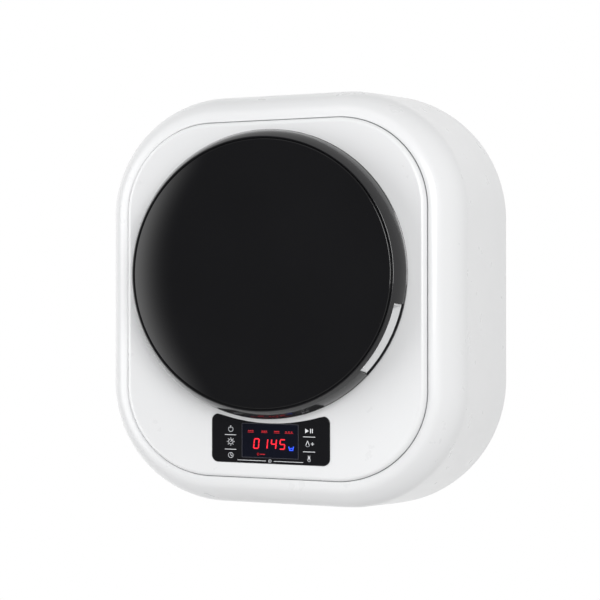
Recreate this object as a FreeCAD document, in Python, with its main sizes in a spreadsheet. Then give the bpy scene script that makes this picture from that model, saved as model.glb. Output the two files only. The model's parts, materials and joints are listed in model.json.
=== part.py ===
"""A compact wall-mounted drum washing machine, as an assembly of separate sub-parts.

Frame: the wall is the plane y = 0 and the room is towards -Y, +X is to the right and +Z is up.
"Depth" below is the distance from the wall, so a point at depth d has y = -d. The origin is the
centre of the four wall bolts. The drum, the tub and the door share one axis, along Y.
"""
import FreeCAD, Part
import math
import os
import re
import Sketcher
from FreeCAD import Placement, Rotation, Vector

doc = FreeCAD.newDocument("washing_machine")

# ---------------------------------------------------------------- driving sizes, mm and degrees
SIZES = {
    # outer body
    "BodyWidth": 543, "BodyHeight": 600, "SeamDepth": 245, "WallGap": 4,
    "EdgeRound": 23.5, "ShoulderRound": 88.7, "ShoulderTurn": 45, "FlareAngle": 8.05,
    "SeamCorner": 118.5, "ShellWall": 2.8, "SeamGap": 1.2, "LedgeWidth": 9,
    # front panel
    "PanelSteepRound": 9, "PanelTopRound": 6.5, "PanelTurn": 35,
    "DishRadius": 152, "DishDepth": 4, "PortRadius": 136,
    # door
    "AxisHeight": 31.7, "DoorRadius": 184, "DoorThickness": 44.5, "DoorTaper": 11.5, "DoorGap": 2,
    "DoorWaist": 17.5, "DoorUnder": 11, "UnderRound": 18, "RimWall": 4.5, "RimRound": 60, "RimEdge": 1.2, "RimLip": 3.2,
    "GlassDome": 2.8, "GlassThickness": 3, "BowlRadius": 118,
    "BowlTaper": 9, "BowlDepth": 36, "BowlWall": 4, "FrameRadius": 160, "FrameWall": 3,
    "GripAngle": 117.5, "GripSpan": 31, "GripDepth": 17, "GripWidth": 19, "GripLip": 2.2, "GripWall": 2,
    "HingeInset": 6.5, "HingeRise": 12, "KnuckleRadius": 4.5, "HingePin": 2, "LugStart": 22, "LugLength": 12,
    "StrikeRadius": 163, "StrikeThickness": 5, "StrikeWidth": 12, "StrikeReach": 22, "StrikeClear": 2.3,
    "LockHigh": 22, "BoltSize": 6,
    # control panel
    "PanelWide": 159.5, "PanelDrop": 211.5, "PanelShoulder": 148.8, "PanelSag": 11, "PanelCorner": 9,
    "PanelProud": 0.8, "PanelSeat": 1.4, "FitGap": 0.3,
    "WindowWide": 72, "WindowHigh": 36, "WindowDrop": 183, "TouchAcross": 60, "TouchPitch": 16,
    "TouchSeat": 6, "TouchSpring": 4, "BoardDepth": 236, "BoardThickness": 1.6,
    # detergent tray, behind the door
    "TrayWide": 92, "TrayHigh": 20, "TrayLift": 5, "TrayCorner": 6, "TrayLength": 36, "TrayWall": 1.5,
    # tub
    "TubRadius": 197, "TubWall": 3, "TubBack": 58, "TubBackWall": 4, "TubFront": 208, "TubSplit": 140,
    "TubFlange": 10, "FlangeThickness": 6, "TubPort": 124, "NeckLength": 15, "TubRibs": 12,
    "HubRadius": 36, "HubBack": 28, "SealRadius": 27, "SealReach": 5, "GasketFold": 146.5,
    "SumpAcross": -5, "SumpSpigot": 14, "SpigotWall": 2.5, "MountSpan": 125, "MountRadius": 16,
    # drum
    "DrumRadius": 182, "DrumWall": 1.2, "DrumBack": 76.2, "DrumFront": 199, "DrumMouth": 120,
    "LifterHeight": 30, "LifterWidth": 38, "DrumHole": 2.2, "HolesAround": 24, "SpiderThickness": 8.5,
    "ShaftRadius": 12.5, "ShaftTail": 8.5, "PulleySeat": 7.5, "RunningGap": 0.05,
    "FrontBearingRadius": 26, "FrontBearingWidth": 15, "RearBearingRadius": 20, "RearBearingWidth": 12,
    # drive
    "PulleyRadius": 120, "PulleyWidth": 12, "PulleyDepth": 14, "BeltThickness": 3, "BeltWidth": 9,
    "BeltGap": 0.3, "MotorAcross": 62, "MotorDrop": 225, "MotorRadius": 42, "MotorBack": 34,
    "CapLength": 16, "CapWall": 3, "StatorLength": 54, "MotorPulleyRadius": 12, "MotorShaft": 5,
    "StatorBore": 25, "AirGap": 0.8, "BracketThickness": 3,
    # drain pump
    "PumpAcross": -95, "PumpDrop": 225, "PumpDepth": 95, "PumpRadius": 30, "PumpWall": 2.5,
    "ChamberLength": 33, "ImpellerRadius": 21, "PumpMotorRadius": 24, "PumpMotorLength": 48,
    "PumpShaft": 2.5, "PumpSpigot": 9,
    # services on the left side
    "ServiceDepth": 38, "InletHeight": 88, "DrainHeight": -88, "GlandHeight": -20, "ServiceHole": 24,
    "InletRadius": 13.2, "DrainRadius": 10.5, "GlandRadius": 9, "GlandBore": 4, "StubReach": 262,
    "HoseWall": 2.5,
    # wall fixing
    "PlateThickness": 1.5, "PlateDepth": 6.5, "BoltSpanAcross": 380, "BoltSpanUp": 420, "BoltHole": 5.5,
    "BushRadius": 14, "BushFlange": 19,
}
sheet = doc.addObject("Spreadsheet::Sheet", "sizes")
for row, (size_name, size) in enumerate(SIZES.items(), 1):
    sheet.set(f"A{row}", size_name)
    sheet.set(f"B{row}", str(size))
    sheet.setAlias(f"B{row}", size_name)
doc.recompute()

parts = {}


def num(text):
    """The value of an expression in the sheet's sizes."""
    return float(sheet.evalExpression(str(text)))


def bound(text):
    """The same expression as an object's property reads it, with the sheet's name before each size."""
    return re.sub(r"[A-Z][A-Za-z]+", lambda word: f"sizes.{word.group(0)}", str(text))


def bind(item, name, text):
    item.setExpression(name, bound(text))


# ---------------------------------------------------------------- sizes that follow from the others
OUT_BACK = "(EdgeRound*(1-cos(ShoulderTurn))+ShoulderRound*(cos(ShoulderTurn)-sin(FlareAngle)))"
OUT_RISE = "(EdgeRound*sin(ShoulderTurn)+ShoulderRound*(cos(FlareAngle)-sin(ShoulderTurn)))"
SPREAD = f"({OUT_RISE}+(SeamDepth-WallGap-{OUT_BACK})*tan(FlareAngle))"
SEAM_X = f"(BodyWidth/2-{SPREAD})"
SEAM_Z = f"(BodyHeight/2-{SPREAD})"
PANEL_RUN = "(PanelSteepRound*(1-cos(PanelTurn))+PanelTopRound*cos(PanelTurn))"
PANEL_RISE = "(PanelSteepRound*sin(PanelTurn)+PanelTopRound*(1-sin(PanelTurn)))"
FRONT = f"(SeamDepth+{PANEL_RISE})"
DOOR_BACK = f"({FRONT}+DoorGap)"
DOOR_FRONT = f"({DOOR_BACK}+DoorThickness)"
HINGE_X = "(-(DoorRadius-HingeInset))"
HINGE_DEPTH = f"({FRONT}+HingeRise)"
WAIST = f"({DOOR_BACK}+DoorWaist)"
GLASS_SEAT = "(DoorRadius-DoorTaper-RimLip)"
RIM_INSIDE = "(DoorRadius-DoorUnder-RimWall)"
GRIP_BACK = f"({WAIST}+GripLip)"
GRIP_FRONT = f"({GRIP_BACK}+GripWidth)"
GRIP_FLOOR = "(DoorRadius-DoorTaper/2-GripDepth)"
TUB_INSIDE = "(TubBack+TubBackWall)"
SPLIT_BACK = "(TubSplit-FitGap-FlangeThickness)"
NECK = "(TubPort+TubWall)"
SUMP_DEPTH = "(PumpDepth+ChamberLength/2)"
PLATE_FRONT = "(PlateDepth+PlateThickness)"


# ---------------------------------------------------------------- drawing and building helpers
def keep(item, name):
    """Name a finished sub-part."""
    item.Label = name
    parts[name] = item
    return item


def new_body(name, across="0", up="0"):
    body = keep(doc.addObject("PartDesign::Body", name), name)
    body.Placement = Placement(Vector(num(across), 0, num(up)), Rotation())
    bind(body, ".Placement.Base.x", across)
    bind(body, ".Placement.Base.z", up)
    return body


def origin_plane(body, role):
    return [plane for plane in body.Origin.OriginFeatures if plane.Role == role][0]


def arc_between(start, end, radius, side):
    """A minor arc from start to end, with its centre on the left (side 1) or the right (side -1)."""
    chord = end - start
    half = chord.Length / 2
    to_centre = Vector(-chord.y, chord.x, 0).normalize() * side
    centre = (start + end) * 0.5 + to_centre * math.sqrt(max(radius * radius - half * half, 0))
    first = math.atan2(start.y - centre.y, start.x - centre.x)
    last = math.atan2(end.y - centre.y, end.x - centre.x)
    circle = Part.Circle(centre, Vector(0, 0, 1), radius)
    if side > 0:
        return Part.ArcOfCircle(circle, first, last), (1, 2)
    return Part.ArcOfCircle(circle, last, first), (2, 1)


def hold(drawing, kind, first, text):
    """Hold a point of the drawing at a distance from its origin, bound to the sheet."""
    value = num(text)
    if value < 0:
        index = drawing.addConstraint(Sketcher.Constraint(kind, first[0], first[1], -1, 1, -value))
        drawing.setExpression(f"Constraints[{index}]", bound(f"-({text})"))
    else:
        index = drawing.addConstraint(Sketcher.Constraint(kind, -1, 1, first[0], first[1], value))
        drawing.setExpression(f"Constraints[{index}]", bound(text))


def draw_circle(drawing, across, up, radius):
    circle = Part.Circle(Vector(num(across), num(up), 0), Vector(0, 0, 1), num(radius))
    index = drawing.addGeometry(circle)
    hold(drawing, "DistanceX", (index, 3), across)
    hold(drawing, "DistanceY", (index, 3), up)
    rule = drawing.addConstraint(Sketcher.Constraint("Radius", index, num(radius)))
    drawing.setExpression(f"Constraints[{rule}]", bound(radius))


def draw_outline(drawing, points):
    """A closed outline. A point is (x, y), or (x, y, radius, side) when an arc leads to it."""
    spots = [Vector(num(point[0]), num(point[1]), 0) for point in points]
    count = len(points)
    pieces = []
    ends = []
    for i in range(count):
        following = points[(i + 1) % count]
        start, end = spots[i], spots[(i + 1) % count]
        if len(following) == 2:
            pieces.append(Part.LineSegment(start, end))
            ends.append((1, 2))
        else:
            arc, order = arc_between(start, end, num(following[2]), following[3])
            pieces.append(arc)
            ends.append(order)
    base = drawing.GeometryCount
    drawing.addGeometry(pieces)
    for i in range(count):
        after = (i + 1) % count
        drawing.addConstraint(
            Sketcher.Constraint("Coincident", base + i, ends[i][1], base + after, ends[after][0]))
    for i, point in enumerate(points):
        hold(drawing, "DistanceX", (base + i, ends[i][0]), point[0])
        hold(drawing, "DistanceY", (base + i, ends[i][0]), point[1])
        following = points[(i + 1) % count]
        if len(following) > 2:
            rule = drawing.addConstraint(Sketcher.Constraint("Radius", base + i, num(following[2])))
            drawing.setExpression(f"Constraints[{rule}]", bound(following[2]))


def draw(body, role, outlines, lift="0", turn="0"):
    """A sketch on one of the body's own planes, lifted along its normal, turned about its X axis."""
    drawing = body.newObject("Sketcher::SketchObject", f"{body.Name}_sketch")
    drawing.AttachmentSupport = [(origin_plane(body, role), "")]
    drawing.MapMode = "FlatFace"
    drawing.AttachmentOffset = Placement(Vector(0, 0, num(lift)), Rotation(Vector(1, 0, 0), num(turn)))
    bind(drawing, "AttachmentOffset.Base.z", lift)
    for outline in outlines:
        if outline[0] == "circle":
            draw_circle(drawing, *outline[1:])
        else:
            draw_outline(drawing, outline)
    return drawing


def rounded(across, up, half_wide, half_high, radius):
    """A rounded rectangle's outline, clockwise."""
    left, right = f"{across}-({half_wide})", f"{across}+({half_wide})"
    low, high = f"{up}-({half_high})", f"{up}+({half_high})"
    return [
        (f"{right}-({radius})", high),
        (right, f"{high}-({radius})", radius, -1), (right, f"{low}+{radius}"),
        (f"{right}-({radius})", low, radius, -1), (f"{left}+{radius}", low),
        (left, f"{low}+{radius}", radius, -1), (left, f"{high}-({radius})"),
        (f"{left}+{radius}", high, radius, -1)]


def rectangle(left, right, low, high):
    return [(left, low), (left, high), (right, high), (right, low)]


def pad(body, outlines, start, end):
    """Add material from one depth to a greater one."""
    feature = body.newObject("PartDesign::Pad", f"{body.Name}_pad")
    feature.Profile = draw(body, "XZ_Plane", outlines, start)
    feature.Length = num(f"{end}-({start})")
    bind(feature, "Length", f"{end}-({start})")
    doc.recompute()
    return feature


def cut(body, outlines, start, end):
    """Remove material from one depth to a greater one."""
    before = body.Shape.Volume
    feature = body.newObject("PartDesign::Pocket", f"{body.Name}_pocket")
    feature.Profile = draw(body, "XZ_Plane", outlines, end)
    feature.Length = num(f"{end}-({start})")
    bind(feature, "Length", f"{end}-({start})")
    doc.recompute()
    if body.Shape.Volume >= before:
        raise RuntimeError(f"a pocket cut nothing: {body.Label}")
    return feature


def turned_outline(points):
    """(depth, radius) points as the sketch beside the axis holds them."""
    return [(f"-({point[0]})",) + tuple(point[1:]) for point in points]


def about_axis(body, kind, points, turn="0", sweep="360"):
    feature = body.newObject(f"PartDesign::{kind}", f"{body.Name}_turned")
    drawing = draw(body, "YZ_Plane", [turned_outline(points)], turn=turn)
    feature.Profile = drawing
    feature.ReferenceAxis = (drawing, ["H_Axis"])
    feature.Angle = num(sweep)
    feature.Midplane = num(sweep) < 360
    bind(feature, "Angle", sweep)
    doc.recompute()
    return feature


def revolve(body, points, angle="0", sweep="360"):
    """Add the ring that a (depth, radius) section makes about the body's own axis."""
    return about_axis(body, "Revolution", points, angle, sweep)


def groove(body, points, angle="0", sweep="360"):
    before = body.Shape.Volume
    feature = about_axis(body, "Groove", points, angle, sweep)
    if body.Shape.Volume >= before:
        raise RuntimeError(f"a groove cut nothing: {body.Label}")
    return feature


def around(body, feature, count):
    """Repeat a feature evenly about the body's own axis."""
    pattern = body.newObject("PartDesign::PolarPattern", f"{body.Name}_pattern")
    pattern.Originals = [feature]
    pattern.Axis = (origin_plane(body, "Y_Axis"), [""])
    pattern.Angle = 360
    pattern.Occurrences = int(num(count))
    body.Tip = pattern
    doc.recompute()
    return pattern


def sweep_round(body, path_points, section):
    feature = body.newObject("PartDesign::AdditivePipe", f"{body.Name}_sweep")
    path = draw(body, "XZ_Plane", [path_points])
    feature.Profile = draw(body, "YZ_Plane", [section])
    feature.Spine = (path, [])
    doc.recompute()
    return feature


def ring(name, start, end, inner, outer, across="0", up="AxisHeight"):
    """A plain ring or disc about an axis along Y."""
    body = new_body(name, across, up)
    outlines = [("circle", "0", "0", outer)]
    if inner != "0":
        outlines.append(("circle", "0", "0", inner))
    pad(body, outlines, start, end)
    return body


def block(name, left, right, start, end, low, high):
    """A box from left to right, between two depths, from low to high."""
    item = doc.addObject("Part::Box", name)
    item.Placement = Placement(Vector(num(left), -num(end), num(low)), Rotation())
    for side, text in (("Length", f"{right}-({left})"), ("Width", f"{end}-({start})"),
                       ("Height", f"{high}-({low})")):
        setattr(item, side, num(text))
        bind(item, side, text)
    bind(item, ".Placement.Base.x", left)
    bind(item, ".Placement.Base.y", f"-({end})")
    bind(item, ".Placement.Base.z", low)
    return item


DIRECTIONS = {"x": Rotation(Vector(0, 1, 0), 90), "y": Rotation(Vector(1, 0, 0), 90), "z": Rotation()}


def rod(name, direction, across, depth, up, radius, length):
    """A round bar from a point, towards +X, the room (y) or +Z."""
    item = doc.addObject("Part::Cylinder", name)
    item.Placement = Placement(Vector(num(across), -num(depth), num(up)), DIRECTIONS[direction])
    item.Radius = num(radius)
    item.Height = num(length)
    bind(item, "Radius", radius)
    bind(item, "Height", length)
    bind(item, ".Placement.Base.x", across)
    bind(item, ".Placement.Base.y", f"-({depth})")
    bind(item, ".Placement.Base.z", up)
    return item


def fuse(name, items):
    item = doc.addObject("Part::MultiFuse", name)
    item.Shapes = items
    item.Refine = True
    return item


def group(name, items):
    """Separate solids that share one node."""
    for solid in items:
        parts.pop(solid.Label, None)
    item = doc.addObject("Part::Compound", name)
    item.Links = items
    return keep(item, name)


def less(name, base, tools):
    item = doc.addObject("Part::Cut", name)
    item.Base = base
    item.Tool = tools[0] if len(tools) == 1 else fuse(f"{name}_tools", tools)
    return item


def bent_wire(points, share=0.45):
    """Straight runs joined by tangent arcs, each as large as its two runs allow."""
    corners = [Vector(x, -depth, z) for x, depth, z in points]
    edges = []
    last = corners[0]
    for before, corner, after in zip(corners, corners[1:], corners[2:]):
        incoming = (corner - before).normalize()
        outgoing = (after - corner).normalize()
        reach = share * min((corner - before).Length, (after - corner).Length)
        start = corner - incoming * reach
        end = corner + outgoing * reach
        half_turn = incoming.getAngle(outgoing) / 2
        inward = (outgoing - incoming).normalize()
        radius = reach / math.tan(half_turn)
        middle = corner + inward * (radius / math.cos(half_turn) - radius)
        edges.append(Part.LineSegment(last, start).toShape())
        edges.append(Part.Arc(start, middle, end).toShape())
        last = end
    edges.append(Part.LineSegment(last, corners[-1]).toShape())
    return Part.Wire(edges)


def piped(points, radius, bore=0.0):
    """A round tube, or a solid bar with no bore, along straight runs and tangent arcs."""
    path = bent_wire(points)
    start = path.Vertexes[0].Point
    direction = path.Edges[0].tangentAt(path.Edges[0].FirstParameter)
    shape = path.makePipeShell([Part.Wire(Part.Circle(start, direction, radius).toShape())], True, False)
    if bore:
        shape = shape.cut(path.makePipeShell(
            [Part.Wire(Part.Circle(start, direction, bore).toShape())], True, False))
    return shape


def shaped(name, shape):
    """A sub-part whose shape is worked out from the sheet's sizes in full."""
    item = doc.addObject("Part::Feature", name)
    item.Shape = shape
    return keep(item, name)


# ---------------------------------------------------------------- cabinet
def seam_path(inset="0", middle="0"):
    """The seam's rounded rectangle, from the middle of its top, clockwise."""
    corner = f"(SeamCorner-({inset}))"
    wide = f"({SEAM_X}-({inset}))"
    high = f"({SEAM_Z}-({inset}))"
    outline = rounded("0", middle, wide, high, corner)
    return [("0", f"{middle}+{high}")] + outline


def make_cabinet_shell():
    """The white outer shell: a curled front edge, a broad shoulder and a flare to the wall."""
    body = new_body("cabinet_shell")

    def spot(back, out):
        return (f"{back}-SeamDepth", f"{SEAM_Z}+{out}")

    edge_in = "(EdgeRound-ShellWall)"
    shoulder_in = "(ShoulderRound-ShellWall)"
    steep_back = "EdgeRound*(1-cos(ShoulderTurn))"
    steep_out = "EdgeRound*sin(ShoulderTurn)"
    ledge_out = f"sqrt({edge_in}^2-(EdgeRound-2*ShellWall)^2)"
    flare_wall = "ShellWall/cos(FlareAngle)"
    section = [
        spot("0", "0"),
        spot(steep_back, steep_out) + ("EdgeRound", -1),
        spot(OUT_BACK, OUT_RISE) + ("ShoulderRound", -1),
        spot("(SeamDepth-WallGap)", SPREAD),
        spot("(SeamDepth-WallGap)", f"{SPREAD}-{flare_wall}"),
        spot(f"({OUT_BACK}+ShellWall*sin(FlareAngle))", f"{OUT_RISE}-ShellWall*cos(FlareAngle)"),
        spot(f"(EdgeRound-{edge_in}*cos(ShoulderTurn))", f"{edge_in}*sin(ShoulderTurn)") + (shoulder_in, 1),
        spot("2*ShellWall", ledge_out) + (edge_in, 1),
        spot("2*ShellWall", "(-LedgeWidth)"),
        spot("ShellWall", "(-LedgeWidth)"),
        spot("ShellWall", "0"),
    ]
    sweep_round(body, seam_path(), section)
    # round holes in the left side, around the water inlet, the cord's gland and the drain
    holes = body.newObject("PartDesign::Pocket", "cabinet_shell_services")
    outlines = [("circle", "-ServiceDepth", height, "ServiceHole")
                for height in ("InletHeight", "DrainHeight")]
    outlines.append(("circle", "-ServiceDepth", "GlandHeight", "GlandRadius+FitGap"))
    before = body.Shape.Volume
    holes.Profile = draw(body, "YZ_Plane", outlines, "-BodyWidth/2-1")
    holes.Reversed = True
    holes.Length = num("BodyWidth/4")
    bind(holes, "Length", "BodyWidth/4")
    doc.recompute()
    if body.Shape.Volume >= before:
        raise RuntimeError("the service holes cut nothing")


def control_panel_points(grow="0"):
    """The panel's outline about the drum axis, larger all round by a clearance."""
    half = f"(PanelWide/2+{grow})"
    high = f"(-AxisHeight-PanelShoulder+{grow})"
    low = f"(-AxisHeight-PanelDrop-{grow})"
    span = "(PanelWide/2-PanelCorner)"
    sag = f"({span}^2+PanelSag^2)/(2*PanelSag)"
    corner = f"(PanelCorner+{grow})"
    return [
        (f"-{half}", f"{high}-{corner}"),
        (f"-{span}", high, corner, -1),
        (span, high, sag, 1),
        (half, f"{high}-{corner}", corner, -1),
        (half, f"{low}+{corner}"),
        (span, low, corner, -1),
        (f"-{span}", low),
        (f"-{half}", f"{low}+{corner}", corner, -1),
    ]


def make_front_panel():
    """The white panel: a rolled edge, a flat face, a dished port and a seat for the touch panel."""
    body = new_body("front_panel", up="AxisHeight")

    def spot(forward, inward):
        return (f"-(SeamDepth+{forward})", f"{SEAM_Z}-AxisHeight-SeamGap-({inward})")

    steep_in = "(PanelSteepRound-ShellWall)"
    top_in = "(PanelTopRound-ShellWall)"
    section = [
        spot("0", "0"),
        spot("PanelSteepRound*sin(PanelTurn)", "PanelSteepRound*(1-cos(PanelTurn))") + ("PanelSteepRound", 1),
        spot(PANEL_RISE, PANEL_RUN) + ("PanelTopRound", 1),
        spot(PANEL_RISE, f"{PANEL_RUN}+2*ShellWall"),
        spot(f"{PANEL_RISE}-ShellWall", f"{PANEL_RUN}+2*ShellWall"),
        spot(f"{PANEL_RISE}-ShellWall", PANEL_RUN),
        spot(f"{steep_in}*sin(PanelTurn)", f"PanelSteepRound-{steep_in}*cos(PanelTurn)") + (top_in, -1),
        spot("0", "ShellWall") + (steep_in, -1),
        spot("(-ShellWall)", "ShellWall"),
        spot("(-ShellWall)", "0"),
    ]
    sweep_round(body, seam_path("SeamGap", "(-AxisHeight)"), section)
    inset = f"SeamGap+{PANEL_RUN}+ShellWall"
    flat = rounded("0", "(-AxisHeight)", f"({SEAM_X}-({inset}))", f"({SEAM_Z}-({inset}))",
                   f"(SeamCorner-({inset}))")
    pad(body, [flat, ("circle", "0", "0", "DishRadius+ShellWall/2")], f"{FRONT}-ShellWall", FRONT)
    dish = [
        (FRONT, "DishRadius+ShellWall"), (FRONT, "DishRadius"),
        (f"{FRONT}-DishDepth", f"DishRadius-DishDepth/2"),
        (f"{FRONT}-DishDepth", "PortRadius"), (f"{FRONT}-DishDepth-ShellWall", "PortRadius"),
        (f"{FRONT}-DishDepth-ShellWall", "DishRadius-DishDepth/2+ShellWall*0.6"),
        (f"{FRONT}-ShellWall", "DishRadius+ShellWall"),
    ]
    revolve(body, dish)
    cut(body, [control_panel_points("FitGap")], f"{FRONT}-PanelSeat", f"{FRONT}+1")
    window = rectangle("-WindowWide/2", "WindowWide/2", "-AxisHeight-WindowDrop-WindowHigh/2",
                       "-AxisHeight-WindowDrop+WindowHigh/2")
    springs = [("circle", f"{side}*TouchAcross", f"-AxisHeight-WindowDrop+{row}*TouchPitch", "TouchSeat")
               for side in (-1, 1) for row in (-1, 0, 1)]
    cut(body, [window] + springs, f"{FRONT}-ShellWall-1", f"{FRONT}+1")
    slot = "StrikeThickness/2+StrikeClear"
    slots = [rectangle(f"StrikeRadius-({slot})", f"StrikeRadius+{slot}",
                       "-StrikeWidth/2-StrikeClear", "StrikeWidth/2+StrikeClear")]
    for side in (1, -1):
        low = f"{side}*(LugStart+LugLength/2)-LugLength/2-FitGap"
        high = f"{side}*(LugStart+LugLength/2)+LugLength/2+FitGap"
        slots.append(rectangle(f"{HINGE_X}-KnuckleRadius-FitGap", f"{HINGE_X}+KnuckleRadius+FitGap", low, high))
    slots.append(rounded("0", "(DishRadius+TrayHigh/2+TrayLift)", "(TrayWide/2+FitGap)",
                         "(TrayHigh/2+FitGap)", "(TrayCorner+FitGap)"))
    cut(body, slots, f"{FRONT}-ShellWall-1", f"{FRONT}+1")


def make_back_plate():
    """The zinc-plated steel plate, with its bolt holes and its turned edge."""
    body = new_body("back_plate")
    inset = f"-({SPREAD})+ShellWall/cos(FlareAngle)+1+PlateDepth*tan(FlareAngle)"
    edge = rounded("0", "0", f"({SEAM_X}-({inset}))", f"({SEAM_Z}-({inset}))", f"(SeamCorner-({inset}))")
    bolts = [("circle", f"{side_x}*BoltSpanAcross/2", f"{side_z}*BoltSpanUp/2", "BushRadius")
             for side_x in (-1, 1) for side_z in (-1, 1)]
    pad(body, [edge] + bolts, "PlateDepth", "PlateDepth+PlateThickness")


def make_wall_bushes():
    """Rubber bushes in the plate's bolt holes; their flanges rest on the wall."""
    items = []
    for side_x in (-1, 1):
        for side_z in (-1, 1):
            place = (f"{side_x}*BoltSpanAcross/2", f"{side_z}*BoltSpanUp/2")
            bush = fuse("bush", [
                rod("bush_flange", "y", place[0], "0", place[1], "BushFlange", "PlateDepth"),
                rod("bush_neck", "y", place[0], "PlateDepth", place[1], "BushRadius-RunningGap",
                    "PlateThickness"),
                rod("bush_head", "y", place[0], "PlateDepth+PlateThickness", place[1], "BushFlange", "4")])
            bore = rod("bush_bore", "y", place[0], "-1", place[1], "BoltHole", "PlateDepth+20")
            items.append(less("bush_bored", bush, [bore]))
    group("wall_bushes", items)


# ---------------------------------------------------------------- tub
def pad_up(body, outlines, low, high):
    """Add material from one height to a greater one, from an outline seen from above."""
    feature = body.newObject("PartDesign::Pad", f"{body.Name}_post")
    feature.Profile = draw(body, "XY_Plane", outlines, low)
    feature.Length = num(f"{high}-({low})")
    bind(feature, "Length", f"{high}-({low})")
    doc.recompute()
    return feature


def cut_down(body, outlines, low, high):
    """Remove material from one height to a greater one."""
    before = body.Shape.Volume
    feature = body.newObject("PartDesign::Pocket", f"{body.Name}_bore")
    feature.Profile = draw(body, "XY_Plane", outlines, high)
    feature.Length = num(f"{high}-({low})")
    bind(feature, "Length", f"{high}-({low})")
    doc.recompute()
    if body.Shape.Volume >= before:
        raise RuntimeError(f"a bore cut nothing: {body.Label}")
    return feature


def make_tub_rear():
    """The rear half of the tub: a ribbed wall, a bearing hub, a sump spigot and a flange."""
    body = new_body("tub_rear", up="AxisHeight")
    seat = f"{TUB_INSIDE}-2"
    section = [
        ("HubBack", "RearBearingRadius"), ("HubBack", "HubRadius"), ("TubBack", "HubRadius+6"),
        ("TubBack", "TubRadius-4"), ("TubBack+4", "TubRadius", "4", 1),
        (SPLIT_BACK, "TubRadius"), (SPLIT_BACK, "TubRadius+TubFlange"),
        ("TubSplit-FitGap", "TubRadius+TubFlange"), ("TubSplit-FitGap", "TubRadius-TubWall"),
        (TUB_INSIDE, "TubRadius-TubWall"), (TUB_INSIDE, "HubRadius"),
        (f"{TUB_INSIDE}+SealReach", "HubRadius"), (f"{TUB_INSIDE}+SealReach", "SealRadius"),
        (seat, "SealRadius"), (seat, "FrontBearingRadius"),
        (f"{seat}-FrontBearingWidth", "FrontBearingRadius"),
        (f"{seat}-FrontBearingWidth", "ShaftRadius+4"),
        ("HubBack+RearBearingWidth", "ShaftRadius+4"),
        ("HubBack+RearBearingWidth", "RearBearingRadius"),
    ]
    revolve(body, section)
    rib = pad(body, [rectangle("-1.5", "1.5", "HubRadius+4", "TubRadius-14")], "TubBack-10", "TubBack+0.5")
    around(body, rib, "TubRibs")
    spigot = ("circle", "SumpAcross", f"-({SUMP_DEPTH})", "SumpSpigot")
    bore = ("circle", "SumpAcross", f"-({SUMP_DEPTH})", "SumpSpigot-SpigotWall")
    pad_up(body, [spigot], "-(TubRadius+18)", "-(TubRadius-TubWall/2)")
    cut_down(body, [bore], "-(TubRadius+19)", "-(TubRadius-TubWall-1)")


def make_tub_front():
    """The front half of the tub, with the neck that the door's seal grips."""
    body = new_body("tub_front", up="AxisHeight")
    revolve(body, [
        ("TubSplit", "TubRadius-TubWall"), ("TubSplit", "TubRadius+TubFlange"),
        ("TubSplit+FlangeThickness", "TubRadius+TubFlange"), ("TubSplit+FlangeThickness", "TubRadius"),
        ("TubFront-6", "TubRadius"), ("TubFront", "TubRadius-6", "6", 1),
        ("TubFront", NECK), ("TubFront+NeckLength", NECK), ("TubFront+NeckLength", "TubPort"),
        ("TubFront-TubWall", "TubPort"), ("TubFront-TubWall", "TubRadius-TubWall")])


def make_tub_clips():
    """Eight spring-steel clips over the two flanges."""
    start = num(f"{SPLIT_BACK}-FitGap")
    end = num("TubSplit+FlangeThickness+FitGap")
    low = num("TubRadius+TubFlange/2")
    high = num("TubRadius+TubFlange+FitGap")
    sheet_metal = 1.5
    corners = [
        (start - sheet_metal, low), (start - sheet_metal, high + sheet_metal),
        (end + sheet_metal, high + sheet_metal), (end + sheet_metal, low),
        (end, low), (end, high), (start, high), (start, low)]
    outline = Part.makePolygon([Vector(0, -depth, radius) for depth, radius in corners + corners[:1]])
    sector = 8
    clip = Part.Face(outline).revolve(Vector(), Vector(0, 1, 0), sector)
    clips = []
    count = 8
    for i in range(count):
        turned = clip.copy()
        turned.rotate(Vector(), Vector(0, 1, 0), i * 360 / count + sector)
        turned.translate(Vector(0, 0, num("AxisHeight")))
        clips.append(turned)
    shaped("tub_clips", Part.makeCompound(clips))


def make_tub_mounts():
    """Four rubber blocks that hold the tub on the back plate."""
    group("tub_mounts", [
        rod("tub_mount", "y", f"{side_x}*MountSpan", PLATE_FRONT, f"AxisHeight+{side_z}*MountSpan",
            "MountRadius", f"TubBack-({PLATE_FRONT})") for side_x in (-1, 1) for side_z in (-1, 1)])


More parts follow.
